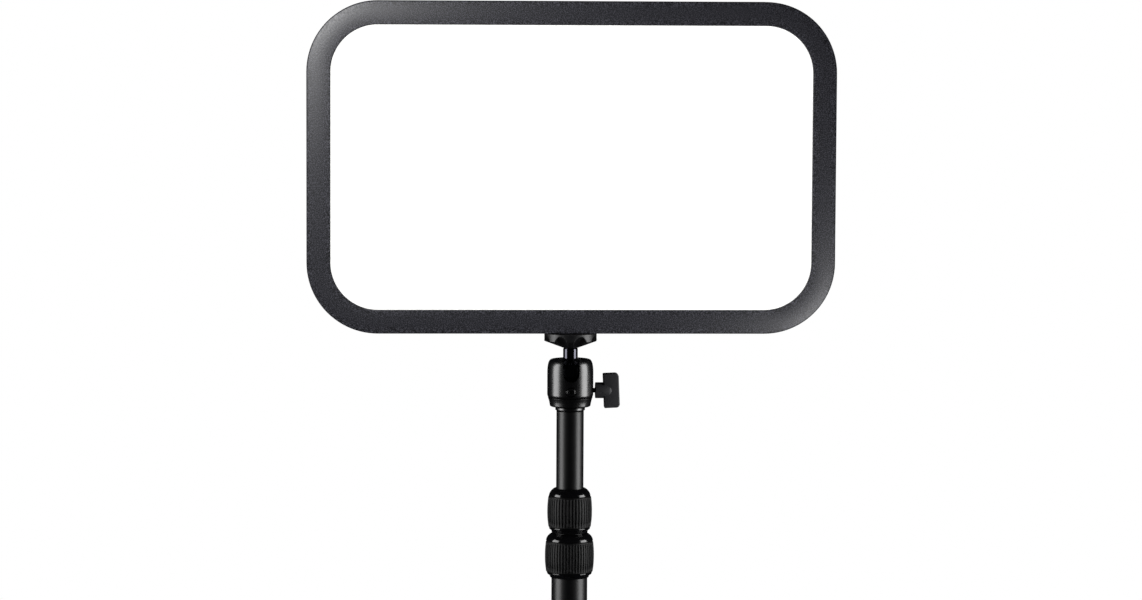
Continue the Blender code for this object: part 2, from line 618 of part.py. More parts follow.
def make_stud_insert():
    width, depth, height = INSERT_SIZE
    low = -PANEL_HEIGHT / 2 + PANEL_WALL + GAP
    insert = box("stud_insert", (-width / 2, -depth / 2, low), (width / 2, depth / 2, low + height), "brass")
    bore = rod("insert_bore", STUD_RADIUS + GAP, low - CUT_MARGIN, low + height + CUT_MARGIN)
    cut(at_panel(insert), at_panel(bore))


def make_panel():
    make_front_bezel()
    make_rear_cover()
    make_diffuser()
    make_sheet("light_guide", GUIDE_INSET, GUIDE_Y, GUIDE_THICKNESS, "clear_acrylic")
    make_sheet("reflector_sheet", GUIDE_INSET, REFLECTOR_Y, REFLECTOR_THICKNESS, "white_film")
    make_led_strip("led_strip_left", -1)
    make_led_strip("led_strip_right", 1)
    make_heat_spreader()
    make_cover_screws()
    make_driver()
    make_control_board()
    make_power_button()
    make_dial("brightness_dial", -1)
    make_dial("colour_dial", 1)
    make_dc_socket()
    make_stud_insert()


# Ball head ------------------------------------------------------------------------------------

def make_lock_wheel():
    """The lobed wheel that runs on the stud and locks the panel; its underside is a flat cone."""
    steps = WHEEL_LOBES * WHEEL_LOBE_STEPS
    bore = STUD_RADIUS + GAP
    rim = WHEEL_HEIGHT - WHEEL_RIM
    loops = [circle(bore, 0, steps), circle(WHEEL_HUB_RADIUS, 0, steps)]
    loops.append(lobed_loop(WHEEL_RADIUS, WHEEL_SCOOP, WHEEL_LOBES, rim, steps))
    loops.append(lobed_loop(WHEEL_RADIUS, WHEEL_SCOOP / 2, WHEEL_LOBES, WHEEL_HEIGHT - GAP, steps))
    loops.append(circle(WHEEL_RADIUS - WHEEL_SCOOP, WHEEL_HEIGHT, steps))
    loops.append(circle(bore, WHEEL_HEIGHT, steps))
    place(loft("lock_wheel", loops, "black_plastic", ring=True), (0, 0, WHEEL_Z))
    radii = (STUD_RADIUS + GAP, WHEEL_RADIUS - PAD_INSET)
    profile = [(radii[0], 0), (radii[1], 0), (radii[1], PAD_THICKNESS), (radii[0], PAD_THICKNESS)]
    place(turned("wheel_pad", profile, "black_rubber", ring=True), (0, 0, WHEEL_PAD_Z))


def make_ball_stud():
    """Thread, stem and ball in one turned piece, with the ball's centre at its origin."""
    top = PANEL_FOOT_Z - BALL_Z + STUD_ENGAGEMENT
    meet = math.asin(STEM_RADIUS / BALL_RADIUS)
    profile = [(STUD_RADIUS, top), (STUD_RADIUS, STEM_REACH), (STEM_RADIUS, STEM_REACH)]
    for step in range(BALL_STEPS + 1):
        angle = meet + (BALL_END_ANGLE - meet) * step / BALL_STEPS
        profile.append((BALL_RADIUS * math.sin(angle), BALL_RADIUS * math.cos(angle)))
    place(turned("ball_stud", profile, "black_chrome"), (0, 0, BALL_Z))


def make_ball_seat():
    """A nylon zone of a sphere under the ball."""
    span = SEAT_END_ANGLE - SEAT_TOP_ANGLE
    angles = [SEAT_TOP_ANGLE + span * i / EDGE_STEPS for i in range(EDGE_STEPS + 1)]
    inner = [(SEAT_INNER * math.sin(a), SEAT_INNER * math.cos(a)) for a in angles]
    outer = [(SEAT_OUTER * math.sin(a), SEAT_OUTER * math.cos(a)) for a in reversed(angles)]
    place(turned("ball_seat", inner + outer, "nylon", ring=True), (0, 0, BALL_Z))


def head_cutters():
    """The holes for the pin at the front and the lock screw at the right, shared by housing and cup."""
    reach = HOUSING_RADIUS + CUT_MARGIN
    pin = rod("pin_hole", PIN_RADIUS + GAP, BITE_RADIUS - GAP, reach)
    screw = rod("lock_screw_hole", LOCK_SCREW_RADIUS + GAP, BITE_RADIUS - GAP, reach)
    height = BALL_Z - LOCK_DROP
    return place(pin, (0, 0, height), TO_FRONT), place(screw, (0, 0, height), TO_RIGHT)


def notch_cutter():
    """The U-shaped notch into which the stem tips forwards."""
    top = HOUSING_ABOVE_BALL + CUT_MARGIN
    outline = [(-NOTCH_HALF, top)] + arc((0, 0), NOTCH_HALF, -math.pi, 0, NOTCH_STEPS) + [(NOTCH_HALF, top)]
    depths = (-HOUSING_RADIUS - CUT_MARGIN, -NOTCH_HALF)
    return place(prism("notch", outline, depths), (0, 0, BALL_Z))


def make_ball_housing(cutters):
    foot = -HOUSING_BELOW_BALL
    top = HOUSING_ABOVE_BALL
    flare = MOUTH_RADIUS + MOUTH_FLARE
    crown = flare + MOUTH_RIM
    bulge = HOUSING_RADIUS - crown
    mouth = math.asin(MOUTH_RADIUS / CAVITY_RADIUS)
    profile = [(CHAMBER_RADIUS, foot), (HOUSING_RADIUS - MOUTH_RIM / 2, foot),
               (HOUSING_RADIUS, foot + MOUTH_RIM)]
    for i in range(EDGE_STEPS + 2):
        angle = math.pi / 2 * i / (EDGE_STEPS + 1)
        radius = crown + bulge * math.cos(angle)
        profile.append((radius, top - HOUSING_SHOULDER + HOUSING_SHOULDER * math.sin(angle)))
    profile.append((flare, top))
    for i in range(EDGE_STEPS + 1):
        angle = mouth + (math.pi / 2 - mouth) * i / EDGE_STEPS
        profile.append((CAVITY_RADIUS * math.sin(angle), CAVITY_RADIUS * math.cos(angle)))
    profile += [(CAVITY_RADIUS, -GAP), (CHAMBER_RADIUS, -CHAMBER_STEP)]
    housing = place(turned("ball_housing", profile, "black_anodised", ring=True), (0, 0, BALL_Z))
    cut(housing, notch_cutter(), *cutters)


def make_pressure_cup(cutters):
    """The cup that the lock screw pushes up under the ball seat."""
    foot = -HOUSING_BELOW_BALL + GAP
    rim = math.acos(-CUP_TOP / CHAMBER_RADIUS)
    profile = [(CUP_RADIUS, foot), (CUP_RADIUS, -CUP_TOP)]
    for i in range(EDGE_STEPS + 3):
        angle = rim + (CUP_FLOOR_ANGLE - rim) * i / (EDGE_STEPS + 2)
        profile.append((CHAMBER_RADIUS * math.sin(angle), CHAMBER_RADIUS * math.cos(angle)))
    cup = place(turned("pressure_cup", profile, "aluminium"), (0, 0, BALL_Z))
    cut(cup, *cutters)


def make_housing_pin():
    low, high = BITE_RADIUS, HOUSING_RADIUS - PIN_RECESS
    pin = rod("housing_pin", PIN_RADIUS, low, high, "black_anodised")
    place(pin, (0, 0, BALL_Z - LOCK_DROP), TO_FRONT)


def make_housing_cap():
    bore = STUD_RADIUS + GAP
    top, foot = HOUSING_RADIUS - MOUTH_RIM / 2, HOUSING_RADIUS - CAP_TAPER
    profile = [(bore, 0), (foot - MOUTH_RIM, 0), (foot, MOUTH_RIM), (top - MOUTH_RIM, CAP_HEIGHT / 2),
               (top, CAP_HEIGHT), (bore, CAP_HEIGHT)]
    place(turned("housing_cap", profile, "black_anodised", ring=True), (0, 0, CAP_Z))


def make_lock_knob():
    """The T-shaped knob, with its hub, on the screw that clamps the ball."""
    start = HOUSING_RADIUS + KNOB_GAP
    bar_start = start + KNOB_HUB_LENGTH - GAP
    length, depth, thickness = KNOB_BAR
    height = BALL_Z - LOCK_DROP
    low = (bar_start, -depth / 2, -length / 2)
    bar = box("lock_knob", low, (bar_start + thickness, depth / 2, length / 2), "black_plastic")
    bevel = bar.modifiers.new("rounding", "BEVEL")
    bevel.width = KNOB_BAR_EDGE
    bevel.segments = 2
    hub_end = bar_start + thickness * KNOB_HUB_SHARE
    hub = rod("lock_knob_hub", KNOB_HUB_RADIUS, start, hub_end, steps=ROUND_STEPS)
    bore = rod("lock_knob_bore", LOCK_SCREW_RADIUS + GAP, start - CUT_MARGIN, start + KNOB_SCREW_BITE + GAP)
    place(bar, (0, 0, height))
    join(bar, place(hub, (0, 0, height), TO_RIGHT))
    cut(bar, place(bore, (0, 0, height), TO_RIGHT))
    screw = rod("lock_screw", LOCK_SCREW_RADIUS, BITE_RADIUS, start + KNOB_SCREW_BITE, "steel")
    place(screw, (0, 0, height), TO_RIGHT)


def make_spigot():
    """Threaded stud, flange and plug on which the head turns."""
    stud_top = SPIGOT_FLANGE_HEIGHT + SPIGOT_STUD_LENGTH
    plug = TOP_TUBE_BORE - GAP
    edge = SPIGOT_FLANGE_RADIUS - MOUTH_RIM
    profile = [(STUD_RADIUS, stud_top), (STUD_RADIUS, SPIGOT_FLANGE_HEIGHT),
               (edge, SPIGOT_FLANGE_HEIGHT), (SPIGOT_FLANGE_RADIUS, SPIGOT_FLANGE_HEIGHT - MOUTH_RIM),
               (SPIGOT_FLANGE_RADIUS, 0), (plug, 0), (plug, -SPIGOT_PLUG_LENGTH)]
    place(turned("head_spigot", profile, "black_anodised"), (0, 0, SPIGOT_Z))


def make_head():
    make_lock_wheel()
    make_ball_stud()
    make_ball_seat()
    cutters = head_cutters()
    make_ball_housing(cutters)
    make_pressure_cup(cutters)
    make_housing_pin()
    make_housing_cap()
    make_lock_knob()
    make_spigot()


# Pole -----------------------------------------------------------------------------------------

def make_tube(name, radius, foot, length):
    bore = radius - TUBE_WALL
    profile = [(bore, 0), (radius, 0), (radius, length), (bore, length)]
    place(turned(name, profile, "black_anodised", ring=True), (0, 0, foot))


def make_foot(name, radius, foot):
    """The plastic ring on a tube's lower end that guides it in the next tube."""
    plug = radius - TUBE_WALL - GAP
    bore = plug - FOOT_WALL
    profile = [(bore, -FOOT_FLANGE - GAP), (radius, -FOOT_FLANGE - GAP), (radius, -GAP), (plug, -GAP),
               (plug, FOOT_PLUG), (bore, FOOT_PLUG)]
    place(turned(name, profile, "nylon", ring=True), (0, 0, foot))


def make_collar(prefix, held, clamped, foot):
    """A twist collar: shell with closed ends, ribbed grip, collet, and a thread bush on the tube.

    held is the radius of the tube that carries the collar, clamped that of the tube it clamps.
    """
    bush = held + GAP + BUSH_THICKNESS
    chamber = bush + GAP
    barrel = chamber + SHELL_WALL
    grip_low = (COLLAR_HEIGHT - GRIP_HEIGHT) * GRIP_LOW_SHARE
    grip_high = grip_low + GRIP_HEIGHT
    lip = barrel + GRIP_THICKNESS
    neck = held + BUSH_THICKNESS + GAP
    top_rim = clamped + MOUTH_RIM
    profile = [(held + GAP, 0), (neck, 0)]
    profile += [(neck + (lip - GAP - neck) * wide, grip_low * high) for wide, high in COLLAR_FLARE]
    profile += [(lip - GAP, grip_low - GAP), (barrel, grip_low - GAP), (barrel, grip_high + GAP),
                (lip - GAP, grip_high + GAP)]
    rise = COLLAR_HEIGHT - grip_high - GAP
    for i in range(1, EDGE_STEPS + 2):
        angle = math.pi / 2 * i / (EDGE_STEPS + 1)
        radius = top_rim + (lip - GAP - top_rim) * math.cos(angle)
        profile.append((radius, grip_high + GAP + rise * math.sin(angle)))
    ceiling = COLLAR_HEIGHT - COLLAR_NECK
    profile += [(clamped + GAP, COLLAR_HEIGHT), (clamped + GAP, ceiling + TUBE_WALL),
                (chamber, ceiling), (chamber, COLLAR_NECK), (held + GAP, COLLAR_NECK)]
    place(turned(f"{prefix}_collar_shell", profile, "gloss_plastic", ring=True), (0, 0, foot))
    make_grip(prefix, barrel + GAP, (grip_low, grip_high), foot)
    make_thread_bush(prefix, held + GAP, bush, foot)
    make_collet(prefix, clamped + GAP, chamber - GAP, foot)


def make_grip(prefix, bore, heights, foot):
    low, high = heights
    count = 2 * EDGE_STEPS
    profile = [(bore, low), (bore, high)]
    for i in range(count + 1):
        share = 1 - i / count
        crown = COLLAR_BULGE * (1 - (2 * share - 1) ** 2)
        profile.append((bore + GRIP_THICKNESS + crown, low + (high - low) * share))
    grip = turned(f"{prefix}_collar_grip", profile, "black_rubber", ring=True)
    place(grip, (0, 0, foot))


def make_thread_bush(prefix, bore, radius, foot):
    top = TUBE_IN_COLLAR
    low = top - BUSH_HEIGHT
    profile = [(bore, low), (radius, low), (radius, top), (bore, top)]
    place(turned(f"{prefix}_thread_bush", profile, "nylon", ring=True), (0, 0, foot))


def make_collet(prefix, bore, radius, foot):
    """A split sleeve that the collar squeezes onto the inner tube."""
    low = TUBE_IN_COLLAR + GAP
    high = min(low + COLLET_HEIGHT, COLLAR_HEIGHT - COLLAR_NECK - GAP)
    slim = bore + TUBE_WALL
    profile = [(bore, low), (radius, low), (slim, high), (bore, high)]
    collet = turned(f"{prefix}_collet", profile, "nylon", ring=True)
    half = COLLET_SLIT / 2
    near, far = (-half, bore / 2, low - CUT_MARGIN), (half, radius * 2, high + CUT_MARGIN)
    slit = box(f"{prefix}_collet_slit", near, far)
    cut(place(collet, (0, 0, foot)), place(slit, (0, 0, foot)))


def make_pole():
    make_tube("top_tube", TOP_TUBE_RADIUS, TOP_TUBE_FOOT, TOP_TUBE_LENGTH)
    make_tube("mid_tube", MID_TUBE_RADIUS, MID_TUBE_FOOT, MID_TUBE_LENGTH)
    make_tube("bottom_tube", BOTTOM_TUBE_RADIUS, BOTTOM_TUBE_FOOT, BOTTOM_TUBE_LENGTH)
    make_foot("top_tube_foot", TOP_TUBE_RADIUS, TOP_TUBE_FOOT)
    make_foot("mid_tube_foot", MID_TUBE_RADIUS, MID_TUBE_FOOT)
    make_collar("upper", MID_TUBE_RADIUS, TOP_TUBE_RADIUS, UPPER_COLLAR_Z)
    make_collar("lower", BOTTOM_TUBE_RADIUS, MID_TUBE_RADIUS, LOWER_COLLAR_Z)
    plug = rod("bottom_tube_plug", BOTTOM_TUBE_BORE - GAP, 0, FOOT_PLUG, "nylon", ROUND_STEPS)
    place(plug, (0, 0, BOTTOM_TUBE_FOOT))


# Desk clamp -----------------------------------------------------------------------------------

def bracket_outline():
    """Side outline of the C-shaped bracket, as (y, z) points."""
    top = JAW_TOP
    under = top - BRACKET_THICKNESS
    arm = under - BRACKET_OPENING
    foot = arm - BRACKET_THICKNESS
    back = BRACKET_BACK
    face = back - BRACKET_THICKNESS
    outer, inner = BRACKET_BEND, BRACKET_BEND - BRACKET_THICKNESS
    outline = [(BRACKET_FRONT, top)]
    outline += arc((back - outer, top - outer), outer, math.pi / 2, 0, EDGE_STEPS + 1)
    outline += arc((back - outer, foot + outer), outer, 0, -math.pi / 2, EDGE_STEPS + 1)
    outline += [(BRACKET_ARM_FRONT, foot), (BRACKET_ARM_FRONT, arm)]
    outline += arc((face - inner, arm + inner), inner, -math.pi / 2, 0, EDGE_STEPS)
    outline += arc((face - inner, under - inner), inner, 0, math.pi / 2, EDGE_STEPS)
    outline.append((BRACKET_FRONT, under))
    return outline


def arm_middle():
    return JAW_TOP - 1.5 * BRACKET_THICKNESS - BRACKET_OPENING


def make_bracket():
    half = BRACKET_WIDTH / 2
    loops = [[(x, y, z) for y, z in bracket_outline()] for x in (-half, half)]
    bracket = loft("clamp_bracket", loops, "powder_coat")
    middle = arm_middle()
    low, high = middle - BOSS_HEIGHT / 2, middle + BOSS_HEIGHT / 2
    boss = place(rod("spindle_boss", BOSS_RADIUS, low, high, steps=ROUND_STEPS), (0, SPINDLE_Y, 0))
    bore = rod("spindle_bore", SPINDLE_RADIUS + GAP, low - CUT_MARGIN, high + CUT_MARGIN)
    join(bracket, boss)
    cut(bracket, place(bore, (0, SPINDLE_Y, 0)))
    deep = SOCKET_FOOT - 2 * CUT_MARGIN
    for index, side in enumerate((-1, 1)):
        hole = rod(f"bolt_hole_{index}", SOCKET_BOLT_RADIUS + GAP, deep, SOCKET_FOOT + GAP)
        cut(bracket, place(hole, (side * SOCKET_BOLT_CIRCLE, 0, 0)))


def make_jaw_pad():
    width, length, thickness = JAW_PAD_SIZE
    low = (-width / 2, JAW_PAD_Y - length / 2, 0)
    box("jaw_pad", low, (width / 2, JAW_PAD_Y + length / 2, thickness), "black_rubber")


def make_pole_socket():
    bore = BOTTOM_TUBE_RADIUS + GAP
    profile = [(bore, SOCKET_FLOOR), (bore, SOCKET_HEIGHT), (SOCKET_SLEEVE - MOUTH_RIM, SOCKET_HEIGHT),
               (SOCKET_SLEEVE, SOCKET_HEIGHT - MOUTH_RIM), (SOCKET_SLEEVE, SOCKET_FLANGE_HEIGHT),
               (SOCKET_FLANGE_RADIUS, SOCKET_FLANGE_HEIGHT - MOUTH_RIM), (SOCKET_FLANGE_RADIUS, 0)]
    socket = place(turned("pole_socket", profile, "black_anodised"), (0, 0, SOCKET_FOOT))
    height = SOCKET_FOOT + THUMB_HEIGHT
    reach = SOCKET_SLEEVE + CUT_MARGIN
    screw_hole = rod("thumb_screw_hole", THUMB_SCREW_RADIUS + GAP, bore - CUT_MARGIN, reach)
    cut(socket, place(screw_hole, (0, 0, height), TO_RIGHT))
    for index, side in enumerate((-1, 1)):
        seat = SOCKET_FLANGE_HEIGHT / 2
        shank, head = SOCKET_BOLT_RADIUS + GAP, SOCKET_BOLT_HEAD + GAP
        profile = [(shank, -CUT_MARGIN), (shank, seat), (head, seat),
                   (head, SOCKET_FLANGE_HEIGHT + CUT_MARGIN)]
        hole = turned(f"socket_bolt_hole_{index}", profile, steps=SMALL_ROUND_STEPS)
        cut(socket, place(hole, (side * SOCKET_BOLT_CIRCLE, 0, SOCKET_FOOT)))


def make_socket_screws():
    for index, side in enumerate((-1, 1)):
        seat = SOCKET_FLANGE_HEIGHT / 2 + GAP
        profile = [(SOCKET_BOLT_RADIUS, -CUT_MARGIN - GAP), (SOCKET_BOLT_RADIUS, seat),
                   (SOCKET_BOLT_HEAD, seat), (SOCKET_BOLT_HEAD, SOCKET_FLANGE_HEIGHT - GAP)]
        screw = turned(f"socket_screw_{index + 1}", profile, "steel", steps=SMALL_ROUND_STEPS)
        place(screw, (side * SOCKET_BOLT_CIRCLE, 0, SOCKET_FOOT))


def make_thumb_screw():
    """The screw at the side of the socket that holds the pole, with its knob moulded on."""
    tip = BOTTOM_TUBE_RADIUS + GAP
    knob = SOCKET_SLEEVE + THUMB_GAP
    steps = THUMB_LOBES * THUMB_LOBE_STEPS
    loops = [circle(THUMB_SCREW_RADIUS, tip, steps), circle(THUMB_SCREW_RADIUS, knob, steps)]
    end = knob + THUMB_KNOB_HEIGHT
    for radius, height in ((THUMB_KNOB_RADIUS, knob), (THUMB_KNOB_RADIUS, end - FRONT_EDGE),
                           (THUMB_KNOB_RADIUS - FRONT_EDGE, end)):
        loops.append(lobed_loop(radius, THUMB_SCOOP, THUMB_LOBES, height, steps))
    screw = loft("pole_thumb_screw", loops, "black_plastic")
    place(screw, (0, 0, SOCKET_FOOT + THUMB_HEIGHT), TO_RIGHT)


def make_spindle():
    """Pad, rubber, threaded spindle and knob that press the clamp against the desk."""
    top = -DESK_THICKNESS
    rubber = rod("pad_rubber", PRESS_PAD_RADIUS - MOUTH_RIM, 0, PRESS_RUBBER, "black_rubber", ROUND_STEPS)
    place(rubber, (0, SPINDLE_Y, top - PRESS_RUBBER))
    pad_foot = top - PRESS_RUBBER - GAP - PRESS_PAD_HEIGHT
    socket = SPINDLE_RADIUS + GAP
    profile = [(socket, SPINDLE_IN_PAD + GAP), (socket, 0), (BOSS_RADIUS, 0),
               (PRESS_PAD_RADIUS, PRESS_PAD_HEIGHT / 2), (PRESS_PAD_RADIUS, PRESS_PAD_HEIGHT)]
    place(turned("spindle_pad", profile, "powder_coat"), (0, SPINDLE_Y, pad_foot))
    spindle_top = pad_foot + SPINDLE_IN_PAD
    spindle = rod("clamp_spindle", SPINDLE_RADIUS, -SPINDLE_LENGTH, 0, "steel", ROUND_STEPS)
    place(spindle, (0, SPINDLE_Y, spindle_top))
    knob_top = spindle_top - SPINDLE_LENGTH + SCREW_KNOB_HEIGHT - 4 * GAP
    make_clamp_knob(knob_top)


def make_clamp_knob(top):
    steps = SCREW_KNOB_LOBES * SCREW_KNOB_LOBE_STEPS
    bore = SPINDLE_RADIUS + GAP
    depth = SCREW_KNOB_HEIGHT - 3 * GAP
    edge = 2 * FRONT_EDGE
    loops = [circle(bore, -depth, steps), circle(bore, 0, steps), circle(bore + edge, 0, steps)]
    for radius, height in ((SCREW_KNOB_RADIUS, -edge), (SCREW_KNOB_RADIUS, edge - SCREW_KNOB_HEIGHT),
                           (SCREW_KNOB_RADIUS - edge, -SCREW_KNOB_HEIGHT - GAP)):
        loops.append(lobed_loop(radius, SCREW_KNOB_SCOOP, SCREW_KNOB_LOBES, height, steps))
    place(loft("clamp_knob", loops, "black_plastic"), (0, SPINDLE_Y, top))


def make_clamp():
    make_bracket()
    make_jaw_pad()
    make_pole_socket()
    make_socket_screws()
    make_thumb_screw()
    make_spindle()


remove_everything()
make_panel()
make_head()
make_pole()
make_clamp()
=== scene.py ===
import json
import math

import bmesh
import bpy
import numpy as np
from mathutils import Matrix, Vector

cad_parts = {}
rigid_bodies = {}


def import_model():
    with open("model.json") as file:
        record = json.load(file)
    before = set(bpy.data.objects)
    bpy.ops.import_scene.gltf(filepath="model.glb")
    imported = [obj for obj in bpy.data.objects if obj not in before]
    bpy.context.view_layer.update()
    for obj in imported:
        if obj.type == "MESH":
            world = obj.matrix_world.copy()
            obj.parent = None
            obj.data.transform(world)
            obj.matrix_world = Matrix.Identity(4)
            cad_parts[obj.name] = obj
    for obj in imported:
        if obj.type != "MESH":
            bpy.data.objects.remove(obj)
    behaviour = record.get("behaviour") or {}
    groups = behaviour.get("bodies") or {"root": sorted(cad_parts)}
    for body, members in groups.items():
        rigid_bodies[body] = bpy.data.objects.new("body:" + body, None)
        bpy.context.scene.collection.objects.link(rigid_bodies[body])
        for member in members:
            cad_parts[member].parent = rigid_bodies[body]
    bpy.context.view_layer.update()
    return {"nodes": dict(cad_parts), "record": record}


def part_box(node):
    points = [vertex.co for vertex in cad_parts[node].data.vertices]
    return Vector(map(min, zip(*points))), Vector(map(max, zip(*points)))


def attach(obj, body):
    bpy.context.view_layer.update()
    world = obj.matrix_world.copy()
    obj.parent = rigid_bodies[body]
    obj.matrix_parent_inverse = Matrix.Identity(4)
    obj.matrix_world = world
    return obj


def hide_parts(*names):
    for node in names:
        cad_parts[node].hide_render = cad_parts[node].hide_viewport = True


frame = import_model()

# %% [markdown]
# # An LED panel light on a telescopic desk pole
# The CAD model is already in the scene: every piece has its real size and rides on its own body.
# This file gives the pieces their finished surfaces. Each visible piece is worked out again as a finer
# surface with numpy, takes its place from the CAD node it stands for, and gets a procedural material.
# Sizes below are in millimetres and are turned to metres where a mesh is made.

MM = 0.001


def node_box(name):
    """Lowest and highest corner of a CAD node in millimetres."""
    return np.array(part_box(name)) / MM


# %% [markdown]
# ## From numbers to a mesh
# Nearly every piece of a light stand is turned on a lathe, moulded or extruded. All three are a grid of
# points: rows along a profile and columns round it. One function skins such grids, merges the points
# that meet at seams and poles, and turns every face outwards.

# %% Skin a grid of points
def grid_faces(rows, columns, ring):
    """Quads between each row and the next, all the way round; a ring joins the last row to the first."""
    row = np.arange(rows if ring else rows - 1)[:, None] * columns
    after = (row + columns) % (rows * columns)
    column = np.arange(columns)[None, :]
    beside = (column + 1) % columns
    return np.stack((row + column, row + beside, after + beside, after + column), -1).reshape(-1, 4)


def make_mesh(name, shells, sharp_angle=32):
    """One mesh from shells of (grid in mm, closing); closing is "ring", "caps" or "poles". Doubled
    points are merged, faces turned outwards, and edges flatter than the angle shaded smooth."""
    points, faces, start = [], [], 0
    for grid, closing in shells:
        rows, columns = grid.shape[:2]
        points.append(grid.reshape(-1, 3) * MM)
        faces += (grid_faces(rows, columns, closing == "ring") + start).tolist()
        if closing == "caps":
            edge = np.arange(columns)
            faces += [(start + edge[::-1]).tolist(), (start + (rows - 1) * columns + edge).tolist()]
        start += rows * columns
    mesh = bpy.data.meshes.new(name)
    mesh.from_pydata(np.concatenate(points).tolist(), [], faces)
    shape = bmesh.new()
    shape.from_mesh(mesh)
    bmesh.ops.remove_doubles(shape, verts=shape.verts, dist=0.002 * MM)
    bmesh.ops.dissolve_degenerate(shape, edges=shape.edges, dist=0.001 * MM)
    bmesh.ops.recalc_face_normals(shape, faces=shape.faces)
    shape.to_mesh(mesh)
    shape.free()
    mesh.shade_smooth()
    mesh.set_sharp_from_angle(angle=math.radians(sharp_angle))
    return mesh


def put_in_scene(name, data):
    thing = bpy.data.objects.new(name, data)
    bpy.context.scene.collection.objects.link(thing)
    return thing


def make_piece(name, shells, sharp_angle=32):
    return put_in_scene(name, make_mesh(name, shells, sharp_angle))


# %% [markdown]
# A lathe profile is drawn as a few corners, and each corner says how far its rounding reaches. Even a
# crisp machined edge is broken by a few tenths of a millimetre, and that is what catches the light.

# %% Profiles, turned shapes and directions
def rounded(corners, steps=5, closed=False):
    """Profile through (a, b, reach) corners: at each, a quadratic curve leaves the straight side at
    reach before the corner, bends towards it, and joins the next side at reach after it. Where two
    reaches are longer than the side between them, they are cut by side / (sum of the two)."""
    corners = np.array(corners, float)
    here, reach = corners[:, :2], corners[:, 2:]
    if not closed:
        reach[[0, -1]] = 0
    back, on = np.roll(here, 1, 0) - here, np.roll(here, -1, 0) - here
    side = np.linalg.norm(on, axis=1, keepdims=True)
    room = np.minimum(1, side / np.maximum(reach + np.roll(reach, -1, 0), 1e-9))
    reach = reach * np.minimum(room, np.roll(room, 1, 0)) * 0.999
    start = here + back / np.linalg.norm(back, axis=1, keepdims=True) * reach
    end = here + on / side * reach
    share = np.linspace(0, 1, steps + 1)[None, :, None]
    curve = (1 - share) ** 2 * start[:, None] + 2 * share * (1 - share) * here[:, None]
    return (curve + share ** 2 * end[:, None]).reshape(-1, 2)


def round_angles(steps):
    return np.linspace(0, 2 * np.pi, steps, endpoint=False)


def turned(profile, steps=72, swell=None):
    """Each (radius, height) becomes a circle round Z; swell(angle, row) scales the radius."""
    angle = round_angles(steps)[None, :]
    radius = np.repeat(profile[:, :1], steps, 1)
    if swell is not None:
        radius = radius * swell(angle, np.arange(len(profile))[:, None])
    height = np.repeat(profile[:, 1:], steps, 1)
    return np.stack((radius * np.cos(angle), radius * np.sin(angle), height), -1)


def facing(grid, direction, centre=(0, 0, 0)):
    """Turn a grid built along +Z so that it points up, to the front, the back or the right."""
    x, y, z = np.moveaxis(grid, -1, 0)
    laid = {"up": (x, y, z), "front": (x, -z, y), "back": (x, z, -y), "right": (z, y, -x)}
    return np.stack(laid[direction], -1) + np.array(centre, float)


# %% [markdown]
# Holes and slots are cut with the Boolean modifier, which is then applied, so that the piece is one
# plain mesh. A narrow bevel on the cut edges stands for the edge that a tool or a mould leaves. Normals
# are weighted by the size of the faces they join, so that a large flat face is shaded flat.

# %% Carve one shape out of another
def apply_modifiers(piece):
    mesh = bpy.data.meshes.new_from_object(piece.evaluated_get(bpy.context.evaluated_depsgraph_get()))
    piece.modifiers.clear()
    piece.data = mesh


def carve(piece, cutters, bevel=0.0, sharp_angle=32):
    """Subtract cutter objects, bevel edges sharper than 50 degrees, apply, and delete the cutters.

    A face that winds round a hole folds over itself when its edges are bevelled, so faces of five
    or more corners are cut into triangles first.
    """
    for cutter in cutters:
        tool = piece.modifiers.new(cutter.name, "BOOLEAN")
        tool.operation, tool.solver, tool.object = "DIFFERENCE", "EXACT", cutter
    if bevel:
        piece.modifiers.new("no_faces_round_holes", "TRIANGULATE").min_vertices = 5
        edge = piece.modifiers.new("edge", "BEVEL")
        edge.width, edge.segments, edge.limit_method = bevel * MM, 2, "ANGLE"
        edge.angle_limit, edge.use_clamp_overlap = math.radians(50), False
    apply_modifiers(piece)
    piece.data.shade_smooth()
    piece.data.set_sharp_from_angle(angle=math.radians(sharp_angle))
    piece.modifiers.new("large_faces_stay_flat", "WEIGHTED_NORMAL").keep_sharp = True
    apply_modifiers(piece)
    for cutter in cutters:
        bpy.data.objects.remove(cutter, do_unlink=True)
    return piece


def rod(name, radius, low, high, direction="up", centre=(0, 0, 0), steps=32):
    """A plain round cutter."""
    profile = np.array([(0, low), (radius, low), (radius, high), (0, high)], float)
    return make_piece(name, [(facing(turned(profile, steps), direction, centre), "poles")])


# %% [markdown]
# A finished piece gets its material, rides on a body of the CAD model so that it moves with a joint,
# and takes the place of the CAD node it stands for, which is hidden.

# %% Fit a piece to the frame
node_body = {node: body for body, nodes in frame["record"]["behaviour"]["bodies"].items()
             for node in nodes}


def fit(piece, material, node):
    """Give the piece its material, and put it in the place of a CAD node."""
    piece.data.materials.clear()
    piece.data.materials.append(material)
    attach(piece, node_body[node])
    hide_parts(node)
    print(f"{piece.name}: {len(piece.data.vertices)} points on body {node_body[node]}")
    return piece


def turn_and_fit(name, material, node, profile, direction="up", centre=(0, 0, 0), steps=72, closing="poles"):
    """Turn a profile, lay it in its direction, and fit it; a closed profile is a ring."""
    grid = facing(turned(profile, steps), direction, centre)
    return fit(make_piece(name, [(grid, closing)]), material, node)


# %% [markdown]
# ## Materials
# A material is named for what the real part is made of. Colours are written as they look on a screen
# (sRGB hex) and one function turns them to the linear values that light is added up in. Patterns are
# sized from the real thing: a noise of scale s has features about 1/s metres across.

